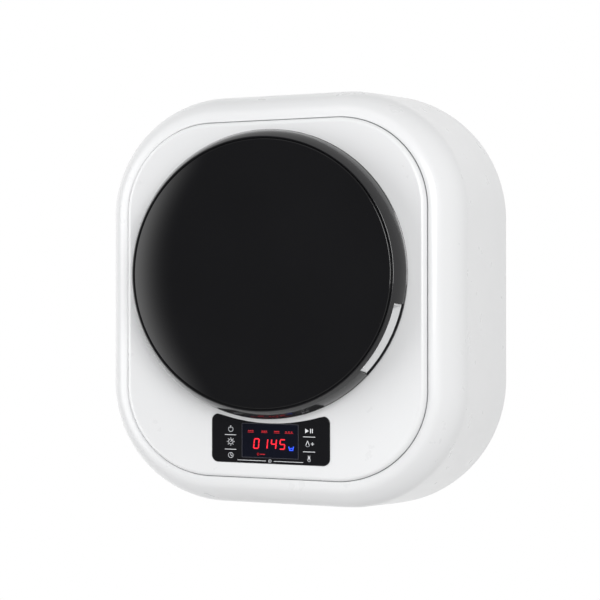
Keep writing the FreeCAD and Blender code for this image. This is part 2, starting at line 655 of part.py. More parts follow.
def make_gasket():
    """The bellows seal: it clips over the panel's port, folds once and grips the tub's neck."""
    lip = f"({FRONT}-DishDepth)"
    back = f"({lip}-ShellWall)"
    neck_end = "(TubFront+NeckLength)"
    body = new_body("tub_gasket", up="AxisHeight")
    revolve(body, [
        (f"{lip}+0.2", "PortRadius+7"), (f"{lip}+3.2", "PortRadius+7"), (f"{lip}+4.2", "PortRadius-2"),
        (f"{lip}-2", "BowlRadius+1"), (f"{lip}-4.4", "BowlRadius+2"), (f"{lip}-1", "PortRadius-6"),
        (f"{neck_end}+7.7", "PortRadius-6"), (f"{neck_end}+7.2", "GasketFold-3"),
        (f"{neck_end}+4.8", "GasketFold-3"), (f"{neck_end}+4.3", f"{NECK}+0.1"),
        ("TubFront+4", f"{NECK}+0.1"), ("TubFront+4", f"{NECK}+3"), (f"{neck_end}+1.5", f"{NECK}+3"),
        (f"{neck_end}+2.5", "GasketFold"), (f"{neck_end}+9.5", "GasketFold"),
        (f"{neck_end}+10.5", "PortRadius-3"), (f"{back}-3.2", "PortRadius-3"),
        (f"{back}-3.2", "PortRadius+7"), (f"{back}-0.2", "PortRadius+7"),
        (f"{back}-0.2", "PortRadius-0.2"), (f"{lip}+0.2", "PortRadius-0.2")])
    clamp = doc.addObject("Part::Torus", "gasket_clamp")
    clamp.Radius1 = num(f"{NECK}+4.6")
    clamp.Radius2 = 1.5
    bind(clamp, "Radius1", f"{NECK}+4.6")
    clamp.Placement = Placement(Vector(0, -num("TubFront+9"), num("AxisHeight")), DIRECTIONS["y"])
    bind(clamp, ".Placement.Base.y", "-(TubFront+9)")
    bind(clamp, ".Placement.Base.z", "AxisHeight")
    keep(clamp, "gasket_clamp")


def make_bearings():
    seat = f"({TUB_INSIDE}-2)"
    front = ring("front_bearing", f"{seat}-FrontBearingWidth", seat, "ShaftRadius+RunningGap",
                 "FrontBearingRadius")
    rear = ring("rear_bearing", "HubBack", "HubBack+RearBearingWidth", "ShaftTail+RunningGap",
                "RearBearingRadius")
    group("drum_bearings", [front, rear])
    ring("shaft_seal", f"{seat}+FitGap", f"{TUB_INSIDE}+SealReach", "ShaftRadius+RunningGap", "SealRadius")


def make_heater():
    """A hairpin heating element in the gap under the drum."""
    middle = (num("DrumRadius") + num("TubRadius-TubWall")) / 2
    half = 25
    low = num("AxisHeight") - math.sqrt(middle ** 2 - half ** 2)
    start = num(TUB_INSIDE)
    end = start + 112
    shape = piped([(-half, start, low), (-half, end, low), (half, end, low), (half, start, low)], 3)
    shaped("heating_element", shape)
    across = -62
    low = num("AxisHeight") - math.sqrt(middle ** 2 - across ** 2)
    keep(rod("temperature_sensor", "y", across, TUB_INSIDE, low, "3", "26"), "temperature_sensor")


def make_counterweight():
    """A cast block that rides on the tub."""
    half = "80"
    radius = "(TubRadius+1.5)"
    corner = f"sqrt({radius}^2-{half}^2)"
    body = new_body("counterweight", up="AxisHeight")
    outline = [(f"-{half}", "TubRadius+30"), (f"-{half}+14", "TubRadius+42"), (f"{half}-14", "TubRadius+42"),
               (half, "TubRadius+30"), (half, corner), (f"-{half}", corner, radius, 1)]
    pad(body, [outline], "TubBack+6", f"{SPLIT_BACK}-4")


# ---------------------------------------------------------------- drum
def make_drum_shell():
    """The perforated cylinder of the drum."""
    body = ring("drum_shell", "DrumBack+DrumWall", "DrumFront", "DrumRadius-DrumWall", "DrumRadius")
    rows = 5
    pitch = f"(DrumFront-DrumBack)/{rows + 1}"
    outlines = [("circle", "0", f"-(DrumBack+{row}*{pitch})", "DrumHole") for row in range(1, rows + 1)]
    hole = cut_down(body, outlines, "DrumRadius/2", "DrumRadius+1")
    around(body, hole, "HolesAround")


def make_drum_ends():
    ring("drum_back", "DrumBack", "DrumBack+DrumWall", "0", "DrumRadius")
    body = new_body("drum_front", up="AxisHeight")
    revolve(body, [
        ("DrumFront", "DrumRadius"), ("DrumFront+DrumWall", "DrumRadius"),
        ("DrumFront+DrumWall", "DrumMouth"), ("DrumFront-6", "DrumMouth"),
        ("DrumFront-6", "DrumMouth+DrumWall"), ("DrumFront", "DrumMouth+DrumWall")])


def make_lifters():
    """Three ridges inside the drum that carry the laundry up."""
    base = "(sqrt((DrumRadius-DrumWall)^2-(LifterWidth/2)^2)-0.2)"
    crest = "(LifterWidth/5)"
    ridges = []
    for i in range(3):
        body = new_body(f"drum_lifter_{i + 1}", up="AxisHeight")
        ridges.append(body)
        body.Placement = Placement(body.Placement.Base, Rotation(Vector(0, 1, 0), 60 + 120 * i))
        pad(body, [[("-LifterWidth/2", base), ("LifterWidth/2", base), (crest, f"{base}-LifterHeight"),
                    (f"-{crest}", f"{base}-LifterHeight", f"1.4*{crest}", -1)]],
            "DrumBack+9", "DrumFront-9")
    group("drum_lifters", ridges)


def make_spider_and_shaft():
    spider = new_body("drum_spider", up="AxisHeight")
    start = "DrumBack-SpiderThickness-0.2"
    pad(spider, [("circle", "0", "0", "30")], start, "DrumBack-0.2")
    arm = pad(spider, [[("-12", "20"), ("-8", "DrumRadius-5"), ("8", "DrumRadius-5"), ("12", "20")]],
              start, "DrumBack-0.2")
    around(spider, arm, "3")
    cut(spider, [("circle", "0", "0", "ShaftRadius")], f"{start}-1", "DrumBack+1")
    shaft = new_body("drum_shaft", up="AxisHeight")
    shoulder = f"{TUB_INSIDE}-2-FrontBearingWidth-1"
    revolve(shaft, [
        ("PulleyDepth-1", "0"), ("PulleyDepth-1", "PulleySeat"), ("HubBack-1", "PulleySeat"),
        ("HubBack-1", "ShaftTail"), (shoulder, "ShaftTail"), (shoulder, "ShaftRadius"),
        ("DrumBack-0.2", "ShaftRadius"), ("DrumBack-0.2", "0")])


def make_drum_pulley():
    """The large belt pulley, with a hub, a thin web and a flat rim."""
    body = new_body("drum_pulley", up="AxisHeight")
    far = "PulleyDepth+PulleyWidth"
    web_back, web_front = "PulleyDepth+PulleyWidth*0.375", "PulleyDepth+PulleyWidth*0.625"
    revolve(body, [
        ("PulleyDepth", "PulleySeat"), ("PulleyDepth", "22"), (web_back, "22"),
        (web_back, "PulleyRadius-8"), ("PulleyDepth", "PulleyRadius-8"), ("PulleyDepth", "PulleyRadius"),
        (far, "PulleyRadius"), (far, "PulleyRadius-8"), (web_front, "PulleyRadius-8"),
        (web_front, "22"), (far, "22"), (far, "PulleySeat")])
    window = cut(body, [("circle", "0", "(PulleyRadius+14)/2", "PulleyRadius/5")], "PulleyDepth", far)
    around(body, window, "5")


# ---------------------------------------------------------------- motor and belt
def make_motor():
    """A brushed motor: a stator between two cups, its windings, and a rotor on a shaft."""
    place = {"across": "MotorAcross", "up": "-MotorDrop"}
    stator_back = "(MotorBack+CapLength)"
    stator_front = f"({stator_back}+StatorLength)"
    ring("motor_stator", stator_back, stator_front, "StatorBore", "MotorRadius", **place)
    caps = []
    for name, outer_face, rim_face, toward in (
            ("motor_rear_cap", "MotorBack", stator_back, 1),
            ("motor_front_cap", f"{stator_front}+CapLength", stator_front, -1)):
        cap = new_body(name, **place)
        inner = f"{outer_face}+{toward}*CapWall"
        boss = f"{outer_face}+{toward}*(CapWall+5)"
        revolve(cap, [
            (outer_face, "MotorShaft+RunningGap"), (outer_face, "MotorRadius"), (rim_face, "MotorRadius"),
            (rim_face, "MotorRadius-CapWall"), (inner, "MotorRadius-CapWall"), (inner, "MotorShaft+7"),
            (boss, "MotorShaft+7"), (boss, "MotorShaft+RunningGap")])
        caps.append(cap)
    group("motor_end_caps", caps)
    windings = []
    for start in (f"{stator_back}-6", stator_front):
        coil = rod("winding", "y", "MotorAcross", start, "-MotorDrop", "MotorRadius-6", "6")
        bore = rod("winding_bore", "y", "MotorAcross", f"{start}-1", "-MotorDrop", "StatorBore+2", "8")
        windings.append(less("winding_ring", coil, [bore]))
    group("motor_windings", windings)
    ring("motor_rotor", f"{stator_back}+4", f"{stator_front}-4", "MotorShaft", "StatorBore-AirGap", **place)
    shaft_start = "(PulleyDepth-1)"
    ring("motor_shaft", shaft_start, f"{stator_front}+CapLength+4", "0", "MotorShaft", **place)
    pulley = new_body("motor_pulley", **place)
    far = "PulleyDepth+PulleyWidth"
    revolve(pulley, [
        ("PulleyDepth", "MotorShaft"), ("PulleyDepth", "MotorPulleyRadius+3.5"),
        ("PulleyDepth+1", "MotorPulleyRadius+3.5"), ("PulleyDepth+1", "MotorPulleyRadius"),
        (f"{far}-1", "MotorPulleyRadius"), (f"{far}-1", "MotorPulleyRadius+3.5"),
        (far, "MotorPulleyRadius+3.5"), (far, "MotorShaft")])
    bracket = new_body("motor_bracket", **place)
    face = f"(MotorBack-BracketThickness)"
    pad(bracket, [rounded("0", "0", "MotorRadius+8", "MotorRadius+4", "8"),
                  ("circle", "0", "0", "MotorShaft+9")], face, "MotorBack")
    posts = [("circle", "-35", "-37", "5"), ("circle", "35", "-37", "5"), ("circle", "44", "33", "5"),
             ("circle", "-44", "-11", "5")]
    pad(bracket, posts, PLATE_FRONT, face)


def belt_loop(grow):
    """The line of a belt round both pulleys, at a distance outside them."""
    large = num("PulleyRadius") + grow
    small = num("MotorPulleyRadius") + grow
    top = Vector(0, 0, num("AxisHeight"))
    low = Vector(num("MotorAcross"), 0, -num("MotorDrop"))
    along = low - top
    span = along.Length
    along.normalize()
    sideways = Vector(along.z, 0, -along.x)
    lean = math.asin((large - small) / span)
    edges = []
    touch = {}
    for side in (1, -1):
        normal = sideways * (side * math.cos(lean)) + along * math.sin(lean)
        touch[side] = (top + normal * large, low + normal * small)
        edges.append(Part.LineSegment(*touch[side]).toShape())
    edges.append(Part.Arc(touch[1][0], top - along * large, touch[-1][0]).toShape())
    edges.append(Part.Arc(touch[1][1], low + along * small, touch[-1][1]).toShape())
    return Part.Wire(Part.__sortEdges__(edges))


def make_belt():
    gap = num("BeltGap")
    face = Part.Face(belt_loop(gap + num("BeltThickness"))).cut(Part.Face(belt_loop(gap)))
    width = num("BeltWidth")
    start = num("PulleyDepth+PulleyWidth/2-BeltWidth/2")
    face.translate(Vector(0, -start, 0))
    shaped("drive_belt", face.extrude(Vector(0, -width, 0)))


# ---------------------------------------------------------------- drain pump
def make_pump():
    """A magnet pump: motor at the back, a chamber with two spigots, a cover and an impeller."""
    place = {"across": "PumpAcross", "up": "-PumpDrop"}
    front = "(PumpDepth+ChamberLength)"
    ring("pump_motor", "PumpDepth-PumpMotorLength", "PumpDepth", "PumpShaft+RunningGap",
         "PumpMotorRadius", **place)
    housing = new_body("pump_chamber", **place)
    revolve(housing, [
        ("PumpDepth", "PumpShaft+RunningGap"), ("PumpDepth", "PumpRadius"), (front, "PumpRadius"),
        (front, "PumpRadius-PumpWall"), ("PumpDepth+PumpWall", "PumpRadius-PumpWall"),
        ("PumpDepth+PumpWall", "PumpShaft+RunningGap")])
    middle = "(PumpDepth+ChamberLength/2)"
    for spigot, start, end, reach in (("SumpSpigot", "PumpRadius-1", "PumpRadius+14", "1"),
                                      ("PumpSpigot", "-(PumpRadius+14)", "-(PumpRadius-1)", "-1")):
        post = housing.newObject("PartDesign::Pad", "pump_spigot")
        post.Profile = draw(housing, "YZ_Plane", [("circle", f"-{middle}", "0", spigot)], start)
        post.Length = num(f"{end}-({start})")
        bind(post, "Length", f"{end}-({start})")
        doc.recompute()
        before = housing.Shape.Volume
        bore = housing.newObject("PartDesign::Pocket", "pump_port")
        bore.Profile = draw(housing, "YZ_Plane", [("circle", f"-{middle}", "0", f"{spigot}-2")],
                            f"{reach}*(PumpRadius+16)")
        bore.Reversed = reach == "-1"
        bore.Length = num("24")
        doc.recompute()
        if housing.Shape.Volume >= before:
            raise RuntimeError("a pump port cut nothing")
    cover = ring("pump_cover", front, f"{front}+3", "0", "PumpRadius", **place)
    group("pump_housing", [housing, cover])
    impeller = new_body("pump_impeller", **place)
    pad(impeller, [("circle", "0", "0", "PumpShaft")], "PumpDepth-PumpMotorLength+8", "PumpDepth+8")
    pad(impeller, [("circle", "0", "0", "ImpellerRadius")], "PumpDepth+PumpWall+2", "PumpDepth+PumpWall+4")
    pad(impeller, [("circle", "0", "0", "6")], "PumpDepth+PumpWall+3", f"{front}-4")
    blade = pad(impeller, [rectangle("-1", "1", "4", "ImpellerRadius-0.5")], "PumpDepth+PumpWall+3.5",
                f"{front}-6")
    around(impeller, blade, "6")


def make_hoses():
    """The inner hoses, each along straight runs and wide bends; their ends grip the spigots."""
    axis = num("AxisHeight")
    bore = num("SumpSpigot") + 0.1
    pump_x, pump_z = num("PumpAcross"), -num("PumpDrop")
    pump_depth = num("PumpDepth+ChamberLength/2")
    sump = (num("SumpAcross"), pump_depth, axis - num("TubRadius") - 6)
    inlet = pump_x + num("PumpRadius")
    sump_hose = shaped("sump_hose", piped([
        sump, (sump[0], pump_depth, pump_z), (inlet + 4, pump_depth, pump_z)], bore + num("HoseWall"), bore))
    outlet = pump_x - num("PumpRadius")
    bore = num("PumpSpigot") + 0.1
    drain_x = -num("StubReach") + 22
    drain_depth = num("ServiceDepth")
    drain_z = num("DrainHeight")
    drain_hose = shaped("drain_hose", piped([
        (outlet - 4, pump_depth, pump_z), (outlet - 46, pump_depth, pump_z),
        (outlet - 80, pump_depth - 30, pump_z + 24), (drain_x + 40, drain_depth + 34, drain_z - 62),
        (drain_x + 34, drain_depth, drain_z - 30), (drain_x + 32, drain_depth, drain_z),
        (drain_x + 2, drain_depth, drain_z)], bore + num("HoseWall"), bore))
    group("drain_hoses", [sump_hose, drain_hose])
    valve_x = -num("StubReach") + 58
    valve_z = num("InletHeight")
    tray_top = axis + num("DishRadius+TrayLift+TrayHigh+TrayWall+1")
    over = axis + num("TubRadius") + 22
    spout = num("TubFront") + 9
    shaped("fill_hose", piped([
        (valve_x + 2, drain_depth, valve_z), (valve_x + 32, drain_depth, valve_z + 8),
        (valve_x + 42, drain_depth, valve_z + 62), (-130, drain_depth + 4, over - 24),
        (-105, drain_depth + 34, over), (-101, num("TubSplit") - 8, over), (-62, num("TubSplit") + 42, over),
        (-36, spout - 22, over - 7), (-30, spout, tray_top + 24), (-30, spout, tray_top)], 7, 5))
    switch_z = axis + 183
    wall = num("TubRadius")
    foot = Vector(-0.53, 0, -0.848)
    tube = shaped("pressure_tube", piped([
        (-165, 96.5, switch_z - 22), (-190, 104, switch_z - 62), (-wall - 18, 105, axis + 28),
        (-wall - 20, 105, axis - 60), (-wall + 20, 105, axis - 158),
        (foot.x * (wall + 26), 102, axis + foot.z * (wall + 26)),
        (foot.x * (wall + 0.4), 102, axis + foot.z * (wall + 0.4))], 3.5, 2))
    switch = rod("switch_body", "y", "-165", "72", "AxisHeight+183", "20", "22")
    group("pressure_switch", [switch, tube])


# ---------------------------------------------------------------- services on the left side
def make_inlet_valve():
    """The water inlet: a threaded stub, a valve body, a coil and its plunger."""
    stub = rod("inlet_stub", "x", "-StubReach", "ServiceDepth", "InletHeight", "InletRadius", "19")
    box = block("valve_box", "-StubReach+18", "-StubReach+46", "ServiceDepth-14", "ServiceDepth+14",
                "InletHeight-15", "InletHeight+15")
    spout = rod("valve_spout", "x", "-StubReach+45", "ServiceDepth", "InletHeight", "5", "12")
    bore = rod("inlet_bore", "x", "-StubReach-1", "ServiceDepth", "InletHeight", "InletRadius-4", "30")
    outlet = rod("outlet_bore", "x", "-StubReach+40", "ServiceDepth", "InletHeight", "3", "30")
    keep(less("inlet_valve", fuse("valve_solid", [stub, box, spout]), [bore, outlet]), "inlet_valve")
    middle = "-StubReach+32"
    coil = rod("coil_solid", "z", middle, "ServiceDepth", "InletHeight+15", "13", "32")
    guide = rod("coil_bore", "z", middle, "ServiceDepth", "InletHeight+14", "4.1", "29")
    keep(less("valve_coil", coil, [guide]), "valve_coil")
    keep(rod("valve_plunger", "z", middle, "ServiceDepth", "InletHeight+16", "4", "20"), "valve_plunger")


def make_drain_spigot():
    outer = rod("spigot_solid", "x", "-StubReach", "ServiceDepth", "DrainHeight", "DrainRadius", "14")
    inner = rod("spigot_tail", "x", "-StubReach+13", "ServiceDepth", "DrainHeight", "PumpSpigot", "19")
    collar = rod("spigot_collar", "x", "-StubReach+13", "ServiceDepth", "DrainHeight", "DrainRadius+4", "3")
    bore = rod("spigot_bore", "x", "-StubReach-1", "ServiceDepth", "DrainHeight", "PumpSpigot-2", "40")
    keep(less("drain_spigot", fuse("spigot_body", [outer, inner, collar]), [bore]), "drain_spigot")


def make_cable_gland():
    """The gland that the mains lead would pass through."""
    neck = rod("gland_neck", "x", "-StubReach-6", "ServiceDepth", "GlandHeight", "GlandRadius", "22")
    nut = rod("gland_nut", "x", "-StubReach+8", "ServiceDepth", "GlandHeight", "GlandRadius+4", "6")
    bore = rod("gland_bore", "x", "-StubReach-7", "ServiceDepth", "GlandHeight", "GlandBore", "30")
    keep(less("cable_gland", fuse("gland_solid", [neck, nut]), [bore]), "cable_gland")


# ---------------------------------------------------------------- electronics
def make_electronics():
    high, low = "186", "236"
    shell = block("box_solid", "128", "184", "62", "110", high, low)
    hollow = block("box_hollow", "130", "182", "64", "111", "188", "234")
    keep(less("control_box", shell, [hollow]), "control_box")
    main_board = block("main_board", "132", "180", "70", "71.6", "190", "232")
    board_front = "BoardDepth+BoardThickness"
    display_board = block("display_board", "-74", "74", "BoardDepth", board_front, "-WindowDrop-23",
                          "-WindowDrop+23")
    group("circuit_boards", [main_board, display_board])
    keep(block("display_module", "-WindowWide/2+1", "WindowWide/2-1", board_front, f"{FRONT}-PanelSeat-0.2",
               "-WindowDrop-WindowHigh/2+1", "-WindowDrop+WindowHigh/2-1"), "display_module")
    springs = []
    for side in (-1, 1):
        for row in (-1, 0, 1):
            place = (f"{side}*TouchAcross", board_front, f"-WindowDrop+{row}*TouchPitch")
            outer = rod("touch_coil", "y", *place, "TouchSpring", f"{FRONT}-PanelSeat-({board_front})")
            inner = rod("touch_core", "y", place[0], f"{board_front}-1", place[2], "TouchSpring-1", "30")
            springs.append(less("touch_spring", outer, [inner]))
    group("touch_springs", springs)
    panel = new_body("control_panel", up="AxisHeight")
    pad(panel, [control_panel_points()], f"{FRONT}-PanelSeat", f"{FRONT}+PanelProud")


def make_dispenser():
    """A small detergent tray in its box, above the port and hidden by the shut door."""
    up = "(AxisHeight+DishRadius+TrayHigh/2+TrayLift)"
    local = "(DishRadius+TrayHigh/2+TrayLift)"
    tray = new_body("dispenser_tray", up="AxisHeight")
    back = f"({FRONT}-ShellWall-TrayLength)"
    pad(tray, [rounded("0", local, "TrayWide/2", "TrayHigh/2", "TrayCorner")], f"{FRONT}-ShellWall", FRONT)
    pad(tray, [rectangle("-TrayWide/2+2", "TrayWide/2-2", f"{local}-TrayHigh/2+1", f"{local}+TrayHigh/2-1")],
        back, f"{FRONT}-ShellWall")
    cut(tray, [rectangle("-TrayWide/2+2+TrayWall", "TrayWide/2-2-TrayWall",
                         f"{local}-TrayHigh/2+1+TrayWall", f"{local}+TrayHigh/2")],
        f"{back}+TrayWall", f"{FRONT}-ShellWall")
    outer = block("housing_solid", "-TrayWide/2-1.5", "TrayWide/2+1.5", f"{back}-2", f"{FRONT}-ShellWall-FitGap",
                  f"{up}-TrayHigh/2-1", f"{up}+TrayHigh/2+1")
    inner = block("housing_hollow", "-TrayWide/2+1", "TrayWide/2-1", f"{back}-0.5", f"{FRONT}+1",
                  f"{up}-TrayHigh/2+0.5", f"{up}+TrayHigh/2-0.5")
    keep(less("dispenser_housing", outer, [inner]), "dispenser_housing")


# ---------------------------------------------------------------- door
def make_door_rim():
    """The black ring round the door: undercut behind its widest circle, tapered in front of it."""
    body = new_body("door_rim", up="AxisHeight")
    shelf = f"({DOOR_FRONT}-GlassThickness)"
    revolve(body, [
        (DOOR_BACK, "DoorRadius-DoorUnder-RimEdge"),
        (f"{DOOR_BACK}+RimEdge", "DoorRadius-DoorUnder", "RimEdge", 1),
        (WAIST, "DoorRadius", "UnderRound", 1),
        (f"{DOOR_FRONT}-RimEdge", "DoorRadius-DoorTaper", "RimRound", 1),
        (DOOR_FRONT, "DoorRadius-DoorTaper-RimEdge", "RimEdge", 1),
        (DOOR_FRONT, GLASS_SEAT), (shelf, GLASS_SEAT), (shelf, "FrameRadius"),
        (f"{shelf}-2.5", "FrameRadius"), (f"{shelf}-2.5", "DoorRadius-DoorTaper-RimWall"),
        (WAIST, "DoorRadius-RimWall"), (DOOR_BACK, RIM_INSIDE)])
    groove(body, [(GRIP_BACK, f"{GRIP_FLOOR}-GripWall-1"), (GRIP_BACK, "DoorRadius+5"),
                  (GRIP_FRONT, "DoorRadius+5"), (GRIP_FRONT, f"{GRIP_FLOOR}-GripWall-1")],
           "GripAngle", "GripSpan")
    cut(body, [hinge_notch()], f"{DOOR_BACK}-1", f"{HINGE_DEPTH}+KnuckleRadius+2.5")


def hinge_notch():
    reach = "(LugStart+LugLength+1.5)"
    return rectangle("-(DoorRadius+2)", f"{HINGE_X}+KnuckleRadius+5", f"-{reach}", reach)


def make_door_frame():
    """The ring that carries the bowl, holds the glass up on a wall and closes the rim's back."""
    body = new_body("door_frame", up="AxisHeight")
    face = f"({DOOR_BACK}+FrameWall)"
    shelf = f"({DOOR_FRONT}-GlassThickness-0.2)"
    revolve(body, [
        (DOOR_BACK, "BowlRadius+FitGap"), (DOOR_BACK, f"{RIM_INSIDE}-FitGap"), (face, f"{RIM_INSIDE}-FitGap"),
        (face, "FrameRadius-2"), (shelf, "FrameRadius-2"), (shelf, "FrameRadius-5"),
        (face, "FrameRadius-5"), (face, "BowlRadius+FitGap")])
    cut(body, [hinge_notch()], f"{DOOR_BACK}-1", f"{face}+0.01")
    tongue = "StrikeThickness/2+FitGap"
    cut(body, [rectangle(f"StrikeRadius-({tongue})", f"StrikeRadius+{tongue}",
                         "-StrikeWidth/2-FitGap", "StrikeWidth/2+FitGap")], f"{DOOR_BACK}-1", f"{face}+0.01")


def make_door_glass():
    body = new_body("door_glass", up="AxisHeight")
    edge = f"({GLASS_SEAT}-FitGap)"
    dome = f"({edge}^2+GlassDome^2)/(2*GlassDome)"
    revolve(body, [
        (f"{DOOR_FRONT}-GlassThickness", "0"), (f"{DOOR_FRONT}-GlassThickness", edge), (DOOR_FRONT, edge),
        (f"{DOOR_FRONT}+GlassDome", "0", dome, 1)])


def make_door_bowl():
    """The clear bowl that keeps the laundry in the drum."""
    body = new_body("door_bowl", up="AxisHeight")
    face = f"({DOOR_BACK}+FrameWall)"
    floor = f"({DOOR_BACK}-BowlDepth)"
    narrow = "(BowlRadius-BowlTaper)"
    bend = 14
    revolve(body, [
        (f"{face}+3", "BowlRadius+10"), (face, "BowlRadius+10"), (face, "BowlRadius"),
        (f"{floor}+{bend}", narrow), (floor, f"{narrow}-{bend}", str(bend), -1), (floor, "0"),
        (f"{floor}+BowlWall", "0"), (f"{floor}+BowlWall", f"{narrow}-{bend}"),
        (f"{floor}+{bend}", f"{narrow}-BowlWall", f"{bend}-BowlWall", 1), (f"{face}+3", "BowlRadius-BowlWall")])


def make_door_grip():
    """The light grey finger recess: a channel round part of the rim, closed at both ends."""
    body = new_body("door_grip", up="AxisHeight")
    start, end = f"({GRIP_BACK}+0.2)", f"({GRIP_FRONT}-0.2)"
    wide, narrow = "(DoorRadius-DoorTaper*0.2-0.4)", "(DoorRadius-DoorTaper*0.8-0.4)"
    bottom = f"({GRIP_FLOOR}-GripWall)"
    revolve(body, [
        (start, bottom), (start, wide), (f"{start}+GripWall", wide), (f"{start}+GripWall", GRIP_FLOOR),
        (f"{end}-GripWall", GRIP_FLOOR), (f"{end}-GripWall", narrow), (end, narrow), (end, bottom)],
        "GripAngle", "GripSpan-0.4")
    for side in (-1, 1):
        revolve(body, [(start, bottom), (start, wide), (end, narrow), (end, bottom)],
                f"GripAngle+{side}*(GripSpan/2-0.2-0.4)", "0.8")


def make_hinge():
    """The bracket behind the panel, its two lugs, the pin across them and the door's arm."""
    reach = "(LugStart+LugLength)"
    base_front = f"({FRONT}-ShellWall-FitGap)"
    base = block("bracket_base", f"{HINGE_X}-KnuckleRadius", f"{HINGE_X}+20", f"{base_front}-4", base_front,
                 f"AxisHeight-{reach}-6", f"AxisHeight+{reach}+6")
    solids = [base]
    for low in ("LugStart", f"-{reach}"):
        solids.append(block("lug_stem", f"{HINGE_X}-KnuckleRadius", f"{HINGE_X}+KnuckleRadius",
                            f"{base_front}-1", HINGE_DEPTH, f"AxisHeight+{low}", f"AxisHeight+{low}+LugLength"))
        solids.append(rod("lug_eye", "z", HINGE_X, HINGE_DEPTH, f"AxisHeight+{low}", "KnuckleRadius", "LugLength"))
    bore = rod("bracket_bore", "z", HINGE_X, HINGE_DEPTH, f"AxisHeight-{reach}-1", "HingePin", f"2*{reach}+2")
    keep(less("hinge_bracket", fuse("bracket_solid", solids), [bore]), "hinge_bracket")
    keep(rod("hinge_pin", "z", HINGE_X, HINGE_DEPTH, f"AxisHeight-{reach}", "HingePin", f"2*{reach}"), "hinge_pin")
    half = "(LugStart-0.5)"
    face = f"({DOOR_BACK}+FrameWall)"
    knuckle = rod("arm_knuckle", "z", HINGE_X, HINGE_DEPTH, f"AxisHeight-{half}", "KnuckleRadius", f"2*{half}")
    link = block("arm_link", HINGE_X, f"{HINGE_X}+8", f"{face}+0.1", HINGE_DEPTH, f"AxisHeight-{half}+1",
                 f"AxisHeight+{half}-1")
    leaf = block("arm_leaf", f"{HINGE_X}+7", "-(FrameRadius-1.5)", f"{face}+0.1", f"{face}+2.6",
                 f"AxisHeight-{half}+1", f"AxisHeight+{half}-1")
    pin_hole = rod("arm_bore", "z", HINGE_X, HINGE_DEPTH, f"AxisHeight-{half}-1", "HingePin+RunningGap",
                   f"2*{half}+2")
    keep(less("hinge_arm", fuse("arm_solid", [knuckle, link, leaf]), [pin_hole]), "hinge_arm")


def make_strike_and_lock():
    """The door's tongue with its eye, and the lock whose bolt slides through that eye."""
    face = f"({DOOR_BACK}+FrameWall)"
    left, right = "StrikeRadius-StrikeThickness/2", "StrikeRadius+StrikeThickness/2"
    tongue = block("strike_tongue", left, right, f"{DOOR_BACK}-StrikeReach", f"{face}+1",
                   "AxisHeight-StrikeWidth/2", "AxisHeight+StrikeWidth/2")
    foot = block("strike_foot", "FrameRadius-1", "FrameRadius+7.5", face, f"{face}+3", "AxisHeight-12",
                 "AxisHeight+12")
    eye_depth = f"({DOOR_BACK}-StrikeReach+BoltSize/2+4)"
    eye = block("strike_eye", "StrikeRadius-10", "StrikeRadius+10", f"{eye_depth}-BoltSize/2-1",
                f"{eye_depth}+BoltSize/2+1", "AxisHeight-BoltSize/2-0.8", "AxisHeight+BoltSize/2+0.8")
    keep(less("door_strike", fuse("strike_solid", [tongue, foot]), [eye]), "door_strike")
    mouth = "(StrikeThickness/2+StrikeClear)"
    housing = block("lock_solid", f"StrikeRadius-{mouth}-3", f"StrikeRadius+{mouth}+13",
                    f"{DOOR_BACK}-StrikeReach-10", f"{FRONT}-ShellWall-FitGap", "AxisHeight-LockHigh",
                    "AxisHeight+LockHigh")
    slot = block("lock_mouth", f"StrikeRadius-{mouth}", f"StrikeRadius+{mouth}",
                 f"{DOOR_BACK}-StrikeReach-3", f"{FRONT}+1", "AxisHeight-StrikeWidth/2-StrikeClear",
                 "AxisHeight+StrikeWidth/2+StrikeClear")
    channel = block("lock_channel", f"StrikeRadius-{mouth}-2", f"StrikeRadius+{mouth}+11.5",
                    f"{eye_depth}-BoltSize/2-0.15", f"{eye_depth}+BoltSize/2+0.15",
                    "AxisHeight-BoltSize/2-0.15", "AxisHeight+BoltSize/2+0.15")
    keep(less("door_lock", housing, [slot, channel]), "door_lock")
    keep(block("lock_slider", f"StrikeRadius+{mouth}+0.5", f"StrikeRadius+{mouth}+11", f"{eye_depth}-BoltSize/2",
               f"{eye_depth}+BoltSize/2", "AxisHeight-BoltSize/2", "AxisHeight+BoltSize/2"), "lock_slider")


def make_door_screws():
    """Eight pan-head screws round the back of the door."""
    count = 8
    heads = []
    for i in range(count):
        angle = (i + 0.5) * 360 / count
        heads.append(rod("door_screw", "y", f"(DishRadius-12)*cos({angle})", f"{DOOR_BACK}-2",
                         f"AxisHeight+(DishRadius-12)*sin({angle})", "4", "2"))
    group("door_screws", heads)


# ---------------------------------------------------------------- the whole machine
for make in (
        make_cabinet_shell, make_front_panel, make_back_plate, make_wall_bushes,
        make_tub_rear, make_tub_front, make_tub_clips, make_tub_mounts, make_gasket, make_bearings,
        make_heater, make_counterweight,
        make_drum_shell, make_drum_ends, make_lifters, make_spider_and_shaft, make_drum_pulley,
        make_motor, make_belt, make_pump, make_hoses,
        make_inlet_valve, make_drain_spigot, make_cable_gland, make_electronics, make_dispenser,
        make_door_rim, make_door_frame, make_door_glass, make_door_bowl, make_door_grip, make_hinge,
        make_strike_and_lock, make_door_screws):
    make()
doc.recompute()

for item in doc.Objects:
    if "Invalid" in item.State or "Error" in item.State:
        raise RuntimeError(f"{item.Label} failed: {item.State}")
os.makedirs("parts", exist_ok=True)
faulty = [node for node, item in parts.items() if item.Shape.isNull() or not item.Shape.isValid()]
if faulty:
    raise RuntimeError(f"no valid shape: {faulty}")
for node, item in parts.items():
    item.Shape.exportStep(f"parts/{node}.step")
print(len(parts), "sub-parts")
